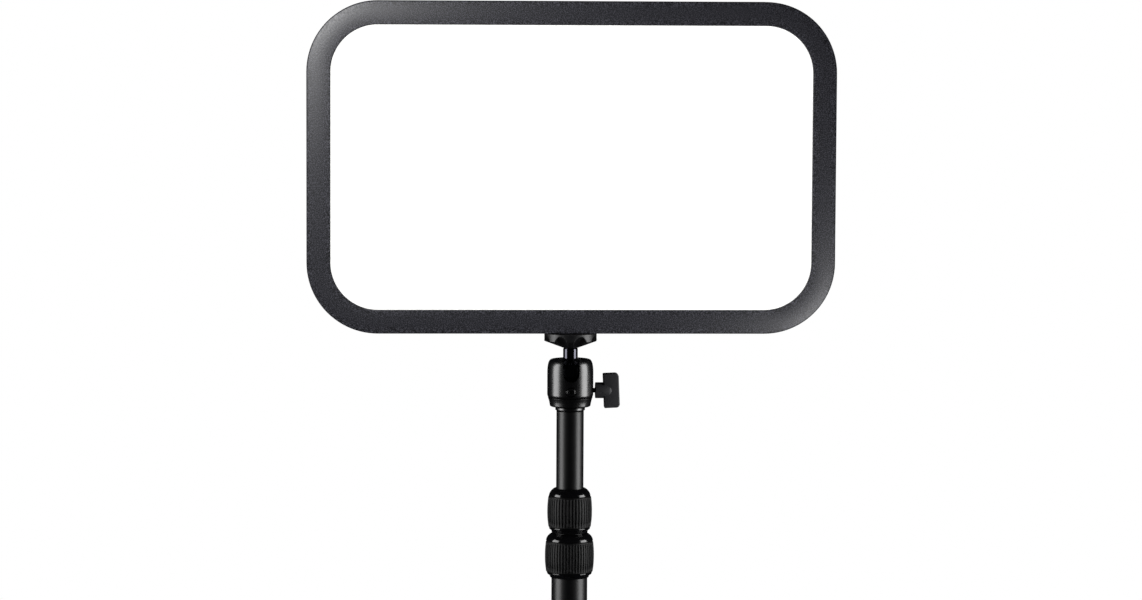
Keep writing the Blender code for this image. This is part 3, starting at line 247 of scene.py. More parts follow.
# %% Helpers for materials
def linear(hex_colour):
    """sRGB hex colour as linear red, green, blue and alpha."""
    value = np.array([int(hex_colour[i:i + 2], 16) for i in (1, 3, 5)]) / 255
    curve = np.where(value <= 0.04045, value / 12.92, ((value + 0.055) / 1.055) ** 2.4)
    return (*curve.tolist(), 1.0)


def add_node(tree, kind, inputs=None, **settings):
    """Add a node, apply its settings, and set each input to a value or link it to a socket."""
    node = tree.nodes.new(kind)
    for name, value in settings.items():
        setattr(node, name, value)
    for name, value in (inputs or {}).items():
        if isinstance(value, bpy.types.NodeSocket):
            tree.links.new(value, node.inputs[name])
        else:
            node.inputs[name].default_value = value
    return node


def new_material(name, **shader_inputs):
    """A Principled material; underscores in the input names stand for spaces."""
    material = bpy.data.materials.new(name)
    material.use_nodes = True
    tree = material.node_tree
    tree.nodes.clear()
    values = {key.replace("_", " "): value for key, value in shader_inputs.items()}
    shader = add_node(tree, "ShaderNodeBsdfPrincipled", values)
    add_node(tree, "ShaderNodeOutputMaterial", {"Surface": shader.outputs["BSDF"]})
    place = add_node(tree, "ShaderNodeTexCoord").outputs["Object"]
    return material, tree, shader, place


def emboss(tree, shader, pattern, height_mm, strength):
    """Raise the surface by height_mm where the pattern is 1."""
    values = {"Height": pattern, "Strength": strength, "Distance": height_mm * MM}
    bump = add_node(tree, "ShaderNodeBump", values)
    tree.links.new(bump.outputs["Normal"], shader.inputs["Normal"])


def grain(tree, shader, place, size_mm, height_mm, strength, detail=2.0):
    """Bump from a noise whose bumps are size_mm across and height_mm high; gives back the noise."""
    noise = add_node(tree, "ShaderNodeTexNoise", {"Vector": place, "Scale": 1 / (size_mm * MM),
                                                  "Detail": detail})
    emboss(tree, shader, noise.outputs["Fac"], height_mm, strength)
    return noise.outputs["Fac"]


def tint(tree, shader, factor, dark, light, low=0.3, high=0.7, socket="Base Color"):
    """Let the colour go from dark where the factor is low to light where it is high."""
    ramp = add_node(tree, "ShaderNodeValToRGB", {"Fac": factor})
    for stop, (position, colour) in zip(ramp.color_ramp.elements, ((low, dark), (high, light))):
        stop.position, stop.color = position, linear(colour)
    tree.links.new(ramp.outputs["Color"], shader.inputs[socket])


def polish(tree, shader, factor, smooth, rough):
    """Let the roughness go from smooth to rough as the factor goes from 0 to 1."""
    values = {"Value": factor, "To Min": smooth, "To Max": rough}
    tree.links.new(add_node(tree, "ShaderNodeMapRange", values).outputs["Result"], shader.inputs["Roughness"])


# %% [markdown]
# The bezel is aluminium with a fine textured powder coat. The powder melts into tiny rounded grains,
# about half a millimetre across, and its metallic pigment sparkles. The grain is drawn at 1.2 mm, twice
# as coarse as the real one, so that it still shows from two metres away.

# %% Powder coats
def powder_coat(name, dark, light, grain_mm, roughness):
    """Coat of melted powder: bumps of grain_mm, with pale flakes of about half that size."""
    material, tree, shader, place = new_material(name, Roughness=roughness, IOR=1.5)
    noise = grain(tree, shader, place, grain_mm, 0.08, 0.7)
    flakes = add_node(tree, "ShaderNodeTexNoise", {"Vector": place, "Scale": 2 / (grain_mm * MM),
                                                   "Detail": 1.0}).outputs["Fac"]
    tint(tree, shader, flakes, dark, light, 0.45, 0.68)
    polish(tree, shader, noise, roughness - 0.1, roughness + 0.1)
    return material


panel_coat = powder_coat("fine_textured_powder_coat", "#1e1e22", "#62626c", 1.2, 0.38)
clamp_coat = powder_coat("black_powder_coat", "#141416", "#2c2c30", 0.9, 0.5)

# %% [markdown]
# Black anodised aluminium is a dyed glassy oxide on drawn or turned metal: nearly black when seen
# straight on, with soft broad reflections. Turning leaves rings round the axis and drawing leaves
# lines along it, so the bump is a noise squeezed in one direction.

# %% Anodised aluminium
STRETCH = 60.0


def anodised(name, colour, roughness, line_mm, along, ior=1.65):
    """Dyed oxide over metal; tool marks line_mm apart run along the Z axis, or else round it."""
    material, tree, shader, place = new_material(name, IOR=ior, Base_Color=linear(colour))
    scale = (1, 1, 1 / STRETCH) if along else (1 / STRETCH, 1 / STRETCH, 1)
    lines = add_node(tree, "ShaderNodeMapping", {"Vector": place, "Scale": scale}).outputs["Vector"]
    marks = grain(tree, shader, lines, line_mm, 0.001, 0.1, 3.0)
    cloud = add_node(tree, "ShaderNodeTexNoise", {"Vector": place, "Scale": 1 / (6 * MM)})
    mixed = add_node(tree, "ShaderNodeMath", {0: marks, 1: cloud.outputs["Fac"]}, operation="MULTIPLY")
    polish(tree, shader, mixed.outputs[0], roughness - 0.03, roughness + 0.08)
    return material


tube_anodised = anodised("black_anodised_tube", "#030304", 0.38, 0.25, True, ior=1.42)
turned_anodised = anodised("black_anodised_turned", "#020203", 0.27, 0.22, False)
dial_anodised = anodised("black_anodised_dial", "#17171a", 0.3, 0.2, False)
plain_aluminium, tree, shader, place = new_material(
    "rolled_aluminium", Metallic=1.0, Base_Color=linear("#c9cace"), Roughness=0.36)
grain(tree, shader, place, 0.4, 0.01, 0.4)

# %% [markdown]
# The ball stud is plated with black chrome, a mirror-smooth dark metal, and the screws are plain
# zinc-plated steel, a paler and duller one.

# %% Plated and machined metals
def metal(name, colour, roughness, grain_mm=0.3, depth_mm=0.002):
    """Bare or plated metal; the grain is what polishing or rolling leaves."""
    material, tree, shader, place = new_material(name, Metallic=1.0, Base_Color=linear(colour))
    noise = grain(tree, shader, place, grain_mm, depth_mm, 0.3)
    polish(tree, shader, noise, roughness * 0.8, roughness * 1.3)
    return material


black_chrome = metal("black_chrome_plate", "#3a3a40", 0.09, 1.5, 0.001)
screw_steel = metal("zinc_plated_steel", "#9a9a9c", 0.3)
black_steel = metal("black_oxide_steel", "#3a3a3d", 0.36)
brass = metal("machined_brass", "#c9a24a", 0.28)

# %% [markdown]
# Plastics differ by their mould. The rear cover's mould is spark-eroded, which gives a matte leathery
# grain; the knobs are moulded in a satin one; the collars' ends are polished to a deep gloss. The grip
# bands are a soft rubber that scatters light and never shines.

# %% Plastics and rubber
def moulded(name, dark, light, roughness, grain_mm, depth_mm, ior=1.5):
    """Moulded plastic: the mould's texture as bumps, with a slight mottling of the colour."""
    material, tree, shader, place = new_material(name, IOR=ior)
    noise = grain(tree, shader, place, grain_mm, depth_mm, 0.5)
    cloud = add_node(tree, "ShaderNodeTexNoise", {"Vector": place, "Scale": 1 / (4 * MM)})
    tint(tree, shader, cloud.outputs["Fac"], dark, light)
    polish(tree, shader, noise, roughness * 0.85, roughness * 1.2)
    return material


cover_plastic = moulded("spark_textured_abs", "#1b1b1e", "#222226", 0.52, 0.8, 0.05)
satin_plastic = moulded("satin_black_nylon", "#0a0a0c", "#0f0f12", 0.42, 0.35, 0.012)
gloss_plastic = moulded("polished_black_abs", "#050506", "#08080a", 0.13, 3.0, 0.004)
matte_nylon = moulded("glass_filled_nylon", "#28282b", "#303034", 0.58, 0.6, 0.02)
grip_rubber = moulded("black_grip_rubber", "#030304", "#050506", 0.48, 0.25, 0.01, ior=1.3)
natural_nylon = moulded("natural_nylon", "#d8d2c0", "#e2ddce", 0.45, 0.8, 0.01)
white_film = moulded("white_reflector_film", "#e6e6e4", "#f2f2f0", 0.5, 1.0, 0.004)

# %% [markdown]
# The light guide behind the diffuser is clear acrylic, and the boards are glass fibre under green
# solder mask, where a weave of about a millimetre shows through.

# %% Clear acrylic, circuit board
clear_acrylic, tree, shader, place = new_material(
    "clear_acrylic", Base_Color=linear("#e8f0f2"), IOR=1.49, Roughness=0.08, Transmission_Weight=0.8)
grain(tree, shader, place, 1.2, 0.003, 0.2)

circuit_board, tree, shader, place = new_material("solder_mask_on_glass_fibre", IOR=1.55, Roughness=0.32)
weave = add_node(tree, "ShaderNodeTexBrick", {
    "Vector": place, "Scale": 1 / (1.2 * MM), "Color1": linear("#0e4a26"), "Color2": linear("#12562d"),
    "Mortar": linear("#0a3b1d"), "Mortar Size": 0.08})
tree.links.new(weave.outputs["Color"], shader.inputs["Base Color"])
emboss(tree, shader, weave.outputs["Fac"], 0.02, 0.2)
print(len(bpy.data.materials), "materials in the file")

# %% [markdown]
# ## The panel
# Everything on the panel follows one outline, a rounded rectangle. Drawn in by some inset it stays
# round the same four corner centres, so a moulding is a section of (inset, depth) carried round it.

# %% The panel's outline
bezel_low, bezel_high = node_box("front_bezel")
cover_low, cover_high = node_box("rear_cover")
panel_centre = (bezel_low + bezel_high) / 2
half_width, half_height = (bezel_high - bezel_low)[[0, 2]] / 2
CORNER_RADIUS = 49.0
front, back = bezel_low[1], cover_high[1]
print("panel", np.round(2 * np.array([half_width, half_height]), 1), "depth", round(back - front, 1))


def round_panel(section, corner_steps=24):
    """Carry (inset, depth) points round the panel: each corner is a quarter circle whose radius is
    the corner radius less the inset, and straight sides join the quarters."""
    quarter = np.linspace(0, np.pi / 2, corner_steps + 1)
    angle = (np.arange(4)[:, None] * np.pi / 2 + quarter).ravel()
    side_x = np.repeat([1, -1, -1, 1], corner_steps + 1) * (half_width - CORNER_RADIUS)
    side_z = np.repeat([1, 1, -1, -1], corner_steps + 1) * (half_height - CORNER_RADIUS)
    radius = CORNER_RADIUS - section[:, :1]
    depth = np.repeat(section[:, 1:], len(angle), 1)
    x, z = side_x + radius * np.cos(angle), side_z + radius * np.sin(angle)
    return np.stack((x, depth, z + panel_centre[2]), -1)


# %% [markdown]
# The bezel's face is slightly crowned: its middle stands a third of a millimetre proud, which makes a
# lamp's highlight fade across the bar. Both edges are rounded, and the dark line along them is that
# rounding turning away from the light.

# %% Front bezel
BEZEL_WIDTH, WALL, CROWN = 16.5, 2.2, 0.34
bezel_back = bezel_high[1]
crown = [(u, front + CROWN * (2 * u / BEZEL_WIDTH - 1) ** 2, 0)
         for u in np.linspace(1.2, BEZEL_WIDTH - 1.2, 12)]
section = rounded([(0, bezel_back, 0), (0, front + CROWN, 0.8), *crown, (BEZEL_WIDTH, front + CROWN, 0.7),
                   (BEZEL_WIDTH, front + WALL, 0), (WALL, front + WALL, 0), (WALL, bezel_back, 0)], 6, True)
bezel = make_piece("bezel", [(round_panel(section), "ring")])
carve(bezel, [rod("stud_hole", 3.7, bezel_low[2] - 2, bezel_low[2] + 4, centre=(0, 0, 0))])
fit(bezel, panel_coat, "front_bezel")

# %% [markdown]
# The diffuser is opal acrylic lit from its edges. It scatters so well that it looks evenly white, so it
# is given a glow of its own. In the last millimetres inside the bezel the glow drops by a quarter: that
# is painted shade of the bezel's lip. It is a plate with a raised window that fills the bezel's opening.

# %% Diffuser
OPENING, LIP_SHADE_MM = BEZEL_WIDTH + 0.3, 3.2
opal_acrylic, tree, shader, place = new_material(
    "opal_acrylic", Base_Color=linear("#f4f4f2"), IOR=1.49, Roughness=0.35, Emission_Strength=1.15)
grain(tree, shader, place, 0.6, 0.005, 0.2)
# How far a point lies from the nearest corner centre, or from the line between two of them:
# the length of max(|point - panel's centre| - corner centre, 0), without its depth.
corner_centre = ((half_width - CORNER_RADIUS) * MM, 0, (half_height - CORNER_RADIUS) * MM)
spot = place
for operation, values in (("SUBTRACT", (0, 0, panel_centre[2] * MM)), ("ABSOLUTE", (0, 0, 0)),
                          ("SUBTRACT", corner_centre), ("MAXIMUM", (0, 0, 0)), ("MULTIPLY", (1, 0, 1))):
    inputs = {0: spot, 1: values}
    spot = add_node(tree, "ShaderNodeVectorMath", inputs, operation=operation).outputs["Vector"]
reach = add_node(tree, "ShaderNodeVectorMath", {0: spot}, operation="LENGTH").outputs["Value"]
rim = (CORNER_RADIUS - OPENING) * MM
# Painted shade of the bezel's lip: the glow is dimmed towards the edge of the opening, darkest at the edge.
fade = add_node(tree, "ShaderNodeMapRange", {"Value": reach, "From Min": rim - LIP_SHADE_MM * MM,
                                             "From Max": rim, "To Min": 1.0, "To Max": 0.0})
cloud = add_node(tree, "ShaderNodeTexNoise", {"Vector": place, "Scale": 1 / (40 * MM)})
mottle = add_node(tree, "ShaderNodeMapRange", {"Value": cloud.outputs["Fac"], "To Min": 0.9})
glow_with_lip_shade = add_node(tree, "ShaderNodeMath", {0: fade.outputs["Result"], 1: mottle.outputs["Result"]},
                operation="MULTIPLY")
tint(tree, shader, glow_with_lip_shade.outputs[0], "#d8d8d6", "#ffffff", 0.0, 0.9, "Emission Color")
lip_low, lip_high = node_box("diffuser_plate")[:, 1]
section = rounded([(OPENING + 3, lip_low, 0), (OPENING + 1.4, lip_low, 0.5), (OPENING, lip_low + 0.7, 0.2),
                   (OPENING, front + WALL + 0.3, 0), (4.0, front + WALL + 0.3, 0.3), (4.0, lip_high, 0)], 4)
fit(make_piece("diffuser", [(round_panel(section), "caps")]), opal_acrylic, "diffuser_plate")

# %% [markdown]
# The rear cover is a moulded tray with a soft outer edge. Its slots let the driver's heat out, and
# round holes pass the button, the dials, the socket and the screws. The slots have rounded ends, as a
# mould's pins do, so each cutter is a stadium: two half circles and the sides between them.

# %% Rear cover
def slot_cutter(name, centre_x, centre_z, length, width):
    """A stadium of the given length and width, carried through the cover's floor."""
    turn = np.linspace(-np.pi / 2, np.pi / 2, 9)
    x = np.concatenate((np.cos(turn), -np.cos(turn))) * width / 2
    x += np.repeat((1, -1), len(turn)) * (length - width) / 2
    z = np.concatenate((np.sin(turn), -np.sin(turn))) * width / 2
    rows = [np.stack((x + centre_x, np.full_like(x, y), z + centre_z), -1) for y in (back - 6, back + 3)]
    return make_piece(name, [(np.array(rows), "caps")])


FLAT_INSET = 8.0
cover_front = cover_low[1]
section = rounded([(FLAT_INSET, back - WALL, 0), (WALL, back - WALL, 2.4), (WALL, cover_front, 0.3),
                   (0, cover_front, 0.3), (0, back, 3.6), (FLAT_INSET, back, 0)], 7)
cover = make_piece("cover", [(round_panel(section), "caps")])
DIAL_X, INLET_X = 27.0, 62.0
control_z = node_box("power_button")[:, 2].mean()
cutters = [rod(f"hole_{x}", radius, back - 5, back + 3, "back", (x, 0, control_z))
           for x, radius in ((0, 5.3), (INLET_X, 5.8), (-DIAL_X, 3.3), (DIAL_X, 3.3))]
screw_places = [node_box(f"cover_screw_{i}").mean(0) * (1, 0, 1) for i in range(1, 7)]
for number, spot in enumerate(screw_places):
    profile = np.array([(0, back - 5), (1.55, back - 5), (1.55, back - 1.4), (2.8, back - 1.4),
                        (2.8, back + 3), (0, back + 3)], float)
    cutters.append(make_piece(f"screw_hole_{number}", [(facing(turned(profile, 32), "back", spot), "poles")]))
for side in (-1, 1):
    for row in range(7):
        height = panel_centre[2] + 8 + (row - 3) * 8.0
        cutters.append(slot_cutter(f"slot_{side}_{row}", side * 70, height, 42, 3))
carve(cover, cutters, bevel=0.25)
fit(cover, cover_plastic, "rear_cover")

# %% [markdown]
# Small turned fittings: a hexagon socket or a cross cannot be turned, but it can be had from the same
# grid when the recess's radius depends on the angle. A hexagon of half-width w reaches
# w / cos(angle within its sixth), and a circle of the same grid joins it to the round head.

# %% Screws with a hexagon socket
def socket_head(radius, low, top, half_width, depth, shank, foot, steps, edge):
    """Screw of a shank and a round head, into whose top a hexagon socket is sunk: its radius is the
    half-width over the cosine of the angle within each sixth."""
    body = rounded([(0, foot, 0), (shank, foot, 0.3), (shank, low, 0), (radius, low, 0.15),
                    (radius, top, edge), (half_width * 1.35, top, 0)])
    angle = round_angles(steps)
    sixth = np.cos((angle + np.pi / 6) % (np.pi / 3) - np.pi / 6)
    rows = []
    for width, height in ((half_width, top), (half_width, top - depth),
                          (1e-4, top - depth - half_width * 0.4)):
        reach = width / sixth
        rows.append(np.stack((reach * np.cos(angle), reach * np.sin(angle), np.full(steps, height)), -1))
    return np.concatenate((turned(body, steps), np.array(rows)))


for number, spot in enumerate(screw_places, 1):
    grid = socket_head(2.5, back - 1.1, back, 0.95, 0.8, 1.25, back - 8.1, 36, 0.35)
    screw = make_piece(f"back_screw_{number}", [(facing(grid, "back", spot), "poles")])
    fit(screw, black_steel, f"cover_screw_{number}")

# %% [markdown]
# The two dials are turned aluminium with a straight knurl. The knurl is a swell of the radius that
# goes up and down sixty times round, on the dial's side from its rounded foot up to the top's rounding.

# %% Dials
def ridges(count, share, first, last, sharpness=1.0):
    """Swell for turned() on rows first to last: count times round the radius dips by share, as a
    cosine raised to a power; a power above one makes the hollows narrower than the ridges."""
    def swell(angle, row):
        dip = (0.5 + 0.5 * np.cos(count * angle + np.pi)) ** sharpness
        return 1 - share * dip * ((row >= first) & (row <= last))
    return swell


dial_low, dial_high = node_box("brightness_dial")[:, 1]
dial_foot = back + 0.3
for name, x in (("brightness_dial", -DIAL_X), ("colour_dial", DIAL_X)):
    profile = rounded([(0, dial_low, 0), (3, dial_low, 0.4), (3, dial_foot, 0), (8.5, dial_foot, 0.3),
                       (8.5, dial_high - 1.6, 0.2), (8.1, dial_high - 1.3, 0.2), (8.1, dial_high, 0.6),
                       (6.4, dial_high, 0.3), (5.8, dial_high - 0.5, 0.4), (0, dial_high - 0.6, 0)])
    grid = turned(profile, 240, ridges(60, 0.05, 19, 24))
    profile = rounded([(0, dial_high - 0.9, 0), (0.8, dial_high - 0.9, 0),
                       (0.8, dial_high - 0.35, 0.15), (0, dial_high - 0.3, 0)])
    mark = facing(turned(profile, 24), "up", (0, 4.2, 0))
    shells = [(facing(grid, "back", (x, 0, control_z)), "poles"),
              (facing(mark, "back", (x, 0, control_z)), "poles")]
    fit(make_piece(name.replace("dial", "knob"), shells), dial_anodised, name)

# %% [markdown]
# The power button is a dished cap with a ring groove, in the polished plastic of the collars. The
# socket for the power plug is a plain barrel with a pin in the middle; the plug and its lead are left
# off, so that the light can be wired in any scene.

# %% Power button and power socket
button_low, button_high = node_box("power_button")[:, 1]
profile = rounded([(0, button_low, 0), (7.4, button_low, 0.2), (7.4, button_low + 1.2, 0.2),
                   (5, button_low + 1.2, 0), (5, button_high, 0.7), (3.6, button_high - 0.1, 0.3),
                   (3.4, button_high - 0.5, 0.1), (3.0, button_high - 0.5, 0.1),
                   (2.8, button_high - 0.15, 0.2), (0, button_high - 0.5, 0)])
turn_and_fit("button", gloss_plastic, "power_button", profile, "back", (0, 0, control_z))

socket_low, socket_high = node_box("dc_socket")[:, 1]
profile = rounded([(0, socket_high - 9.0, 0), (0.9, socket_high - 9.0, 0), (1.0, socket_high - 1, 0.5),
                   (0, socket_high - 1, 0)])
pin = (facing(turned(profile, 32), "back", (INLET_X, 0, control_z)), "poles")
profile = rounded([(2.9, socket_high - 8.9, 0), (2.9, socket_high, 0.4), (5.5, socket_high, 0.5),
                   (5.5, back - 2.5, 0), (6.7, back - 2.5, 0.2), (6.7, back - 3.7, 0.2),
                   (5.5, back - 3.7, 0), (5.5, socket_low, 0.3), (0, socket_low, 0),
                   (0, socket_high - 8.9, 0)])
barrel = (facing(turned(profile, 48), "back", (INLET_X, 0, control_z)), "poles")
fit(make_piece("power_inlet", [barrel, pin]), satin_plastic, "dc_socket")

# %% [markdown]
# Inside the cover lie the light guide, the film, the boards and the heat spreader. Only slivers of
# them show through the slots, so the CAD solids stay and get real materials.

# %% Materials for the pieces inside
inside = {
    clear_acrylic: "light_guide", white_film: "reflector_sheet", satin_plastic: "driver_coil",
    circuit_board: "led_strip_left led_strip_right driver_board control_board",
    plain_aluminium: "heat_spreader driver_capacitor pressure_cup", brass: "stud_insert",
    natural_nylon: "ball_seat upper_thread_bush lower_thread_bush upper_collet lower_collet "
                   "top_tube_foot mid_tube_foot bottom_tube_plug"}
for material, nodes in inside.items():
    for node in nodes.split():
        materials = frame["nodes"][node].data.materials
        materials.clear()
        materials.append(material)
print("CAD pieces that keep their shape:", " ".join(inside.values()))

# %% [markdown]
# ## The ball head
# The lock wheel under the panel is turned to a flat cone and then scooped eight times with a round
# tool, so that it can be gripped. The tool comes up along the cone at 38 degrees: it enters at a point
# near the hub and leaves an arch in the wall. A thin lip round the top hides the washer.

# %% Lock wheel
wheel_low, wheel_high = node_box("lock_wheel")[:, 2]
wheel_radius = node_box("lock_wheel")[1, 0]
WALL_FOOT, HUB_RADIUS, STUD_BORE = 4.8, 6.4, 3.4
profile = rounded([(STUD_BORE, wheel_low, 0.1), (4.9, wheel_low, 0.2), (HUB_RADIUS, wheel_low + 0.6, 0.4),
                   (17.05, wheel_low + WALL_FOOT - 0.3, 0.7),
                   (wheel_radius, wheel_low + WALL_FOOT + 0.2, 0.5),
                   (wheel_radius, wheel_high + 1.2, 0.2), (16.3, wheel_high + 1.2, 0.2),
                   (16.3, wheel_high, 0.1), (STUD_BORE, wheel_high, 0.2)], 5, True)
wheel = make_piece("lock_wheel_body", [(turned(profile, 144), "ring")])


def scoop_cutter(index):
    """A rod laid radially and tipped towards the stud, so that its top line runs from SCOOP_TOP up
    the wall down to where it leaves the cone near the hub."""
    turn = math.radians(22.5 + 45 * index - 2.3)
    radius, tip, top = 5.5, math.radians(38), 9.0
    rod_shape = turned(np.array([(0, -22.0), (radius, -22), (radius, 8), (0, 8)]), 48)
    along, y, across = np.moveaxis(facing(rod_shape, "right"), -1, 0)
    x = wheel_radius + radius * math.sin(tip) + along * math.cos(tip) - across * math.sin(tip)
    z = wheel_low + top - radius * math.cos(tip) + along * math.sin(tip) + across * math.cos(tip)
    x, y = x * math.sin(turn) + y * math.cos(turn), -x * math.cos(turn) + y * math.sin(turn)
    return make_piece(f"scoop_{index}", [(np.stack((x, y, z), -1), "poles")])


carve(wheel, [scoop_cutter(index) for index in range(8)], bevel=0.3)
fit(wheel, satin_plastic, "lock_wheel")

pad_low, pad_high = node_box("wheel_pad")[:, 2]
profile = rounded([(STUD_BORE, pad_low, 0.2), (15.9, pad_low, 0.4), (15.9, pad_high, 0.4),
                   (STUD_BORE, pad_high, 0.2)], 4, True)
turn_and_fit("panel_washer", grip_rubber, "wheel_pad", profile, closing="ring")

# %% [markdown]
# The ball stud is one turned piece: thread, stem and ball, polished and plated. Its thread is a profile
# that winds: the ridge's height above the core depends on height less turn times pitch.

# %% Ball stud
def threaded(radius, low, high, pitch, depth, steps=28):
    """Rod with a thread of six rows a turn: the radius dips by depth where the fraction of
    (height / pitch - turn) is near one half, as a cosine; the last millimetre fades to the core."""
    rows = int((high - low) / pitch * 6) + 1
    height = np.linspace(low, high, rows)[:, None]
    angle = round_angles(steps)[None, :]
    phase = (height / pitch - angle / (2 * np.pi)) % 1.0
    end = np.clip(np.minimum(height - low, high - height), 0, 1)
    reach = radius - depth + depth * end * (0.5 + 0.5 * np.cos(2 * np.pi * phase))
    grid = np.stack((reach * np.cos(angle), reach * np.sin(angle), height + 0 * angle), -1)
    close = np.array([(0.0, low), (0.0, high)])
    return np.concatenate((turned(close[:1], steps), grid, turned(close[1:], steps)))


BALL_RADIUS, STEM_RADIUS = 11.0, 5.1
stud_low, stud_top = node_box("ball_stud")[:, 2]
ball_z = stud_low + BALL_RADIUS * math.cos(math.radians(8))
meet = math.asin(STEM_RADIUS / BALL_RADIUS)
sweep = np.linspace(meet, math.pi, 26)
ball = np.stack((BALL_RADIUS * np.sin(sweep), ball_z + BALL_RADIUS * np.cos(sweep)), -1)
ball[:, 1] = np.maximum(ball[:, 1], stud_low)
shoulder = wheel_low - 0.3
stem = rounded([(0, shoulder, 0), (STEM_RADIUS, shoulder, 0.5), (*ball[0], 0)], 6)
stud = [(turned(np.concatenate((stem, ball)), 96), "poles"),
        (threaded(3.1, shoulder - 1, stud_top, 1.27, 0.5), "poles")]
fit(make_piece("plated_ball_stud", stud), black_chrome, "ball_stud")

# %% [markdown]
# The housing is a thick tube whose shoulder narrows to a mouth smaller than the ball. A notch at the
# front lets the stem lie down. Its edge is broken by a fine bevel, which shows as a bright thread
# of light down both sides. The pin at the front has a hexagon socket.

# %% Ball housing
housing_low, housing_high = node_box("ball_housing")[:, 2]
housing_radius = node_box("ball_housing")[0, 1] * -1
lock_z = node_box("lock_screw")[:, 2].mean()
CHAMBER, CAVITY, MOUTH, FLARE = 12.6, 11.3, 9.7, 11.6
inner = np.linspace(math.asin(MOUTH / CAVITY), math.pi / 2, 9)
inner = np.stack((CAVITY * np.sin(inner), ball_z + CAVITY * np.cos(inner)), -1)
outer = rounded([(CHAMBER, housing_low, 0.2), (housing_radius - 0.6, housing_low, 0.3),
                 (housing_radius, housing_low + 1.4, 0.9), (housing_radius, housing_high - 6.4, 3.4),
                 (15.35, housing_high - 2.6, 1.6), (14.3, housing_high - 0.6, 0.7),
                 (13.1, housing_high, 0.5), (FLARE, housing_high, 0.5), (MOUTH + 0.1, inner[0, 1] + 0.2, 0.1),
                 (*inner[0], 0)], 6)
profile = np.concatenate((outer, inner, [(CHAMBER, ball_z - 1.2)]))
housing = make_piece("housing", [(turned(profile, 128), "ring")])

NOTCH = 5.4
turn = np.linspace(-math.pi, 0, 25)
x = np.concatenate((NOTCH * np.cos(turn), [NOTCH, -NOTCH]))
z = ball_z + np.concatenate((NOTCH * np.sin(turn), [15, 15]))
rows = [np.stack((x, np.full_like(x, y), z), -1) for y in (-housing_radius - 2, -NOTCH)]
notch = make_piece("notch", [(np.array(rows), "caps")])
carve(housing, [notch, rod("pin_hole", 3.4, 11, 19, "front", (0, 0, lock_z), 48),
                rod("screw_hole", 2.1, 11, 19, "right", (0, 0, lock_z), 36)], bevel=0.22)
fit(housing, turned_anodised, "ball_housing")

pin_front = -node_box("housing_pin")[0, 1]
grid = socket_head(3.1, 12.0, pin_front, 1.35, 1.2, 2.6, 11.3, 48, 1.1)
pin = make_piece("pivot_pin", [(facing(grid, "front", (0, 0, lock_z)), "poles")])
fit(pin, turned_anodised, "housing_pin")

cap_low, cap_high = node_box("housing_cap")[:, 2]
profile = rounded([(STUD_BORE, cap_low, 0), (13.0, cap_low, 0.5), (14.05, cap_low + 0.5, 0.4),
                   (14.4, cap_low + 2.6, 1.0), (14.75, cap_low + 4.2, 1.0), (15.5, cap_high, 0.1),
                   (STUD_BORE, cap_high, 0)], 6, True)
turn_and_fit("cap", turned_anodised, "housing_cap", profile, steps=96, closing="ring")

# %% [markdown]
# The lock knob is moulded: a flat bar with rounded corners, and a round hub that runs into it and
# ends in a shallow dome on the bar's face. The bar is a rounded rectangle carried through its
# thickness, drawn in along a quarter circle at both ends so that its edges are soft.

# %% Rounded blocks
def rounded_block(size, corner, edge, steps=6):
    """Rounded rectangle in x and y, drawn in along a quarter circle of radius edge at both ends in z.
    Corner is one radius or four, in order (+x+y), (-x+y), (-x-y), (+x-y)."""
    half = np.array(size) / 2
    quarter = np.linspace(0, np.pi / 2, steps + 1)
    angle = (np.arange(4)[:, None] * np.pi / 2 + quarter).ravel()
    inset = np.concatenate((edge * (1 - np.sin(quarter)), edge * (1 - np.cos(quarter))))[:, None]
    height = np.concatenate((-half[2] + edge * (1 - np.cos(quarter)),
                             half[2] - edge * (1 - np.sin(quarter))))
    reach = np.maximum(np.repeat(np.broadcast_to(corner, 4), steps + 1), inset + 0.05)
    x = np.repeat([1, -1, -1, 1], steps + 1) * (half[0] - reach) + (reach - inset) * np.cos(angle)
    y = np.repeat([1, 1, -1, -1], steps + 1) * (half[1] - reach) + (reach - inset) * np.sin(angle)
    return np.stack((x, y, np.repeat(height[:, None], len(angle), 1)), -1)


knob_low, knob_high = node_box("lock_knob")
hub_radius, hub_start = 5.55, knob_low[0]
bar_start, bar_end = hub_start + 5.5, knob_high[0]
TILT = math.radians(2.4)
bar_size = np.array((knob_high[2] - knob_low[2] - 0.4, bar_end - bar_start - 0.5, 8.4))
bar = rounded_block(bar_size, (2.5, 2.5, 0.7, 0.7), 0.9)[..., [1, 2, 0]]
cosine, sine = math.cos(TILT), math.sin(TILT)
bar = bar @ np.array(((cosine, 0, -sine), (0, 1, 0), (sine, 0, cosine))).T
bar = bar + ((bar_start + bar_end) / 2, 0, lock_z)
profile = rounded([(2.1, hub_start, 0.2), (hub_radius, hub_start, 0.5), (hub_radius, bar_start + 1.5, 2.5),
                   (4.6, bar_start + 6.4, 2.4), (0, bar_start + 6.4, 0)], 6)
profile = np.concatenate(([(0, hub_start + 4.0), (2.1, hub_start + 4.0)], profile))
hub = facing(turned(profile, 72), "right", (0, 0, lock_z))
fit(make_piece("t_knob", [(bar, "caps"), (hub, "poles")]), matte_nylon, "lock_knob")

screw_low, screw_high = node_box("lock_screw")[:, 0]
thread = facing(threaded(1.8, screw_low, screw_high, 0.6, 0.25), "right", (0, 0, lock_z))
fit(make_piece("clamping_screw", [(thread, "poles")]), black_steel, "lock_screw")

# %% [markdown]
# ## The pole
# The spigot plugs into the top tube. Its flange is broken by a bevel that shows as a thin bright line.

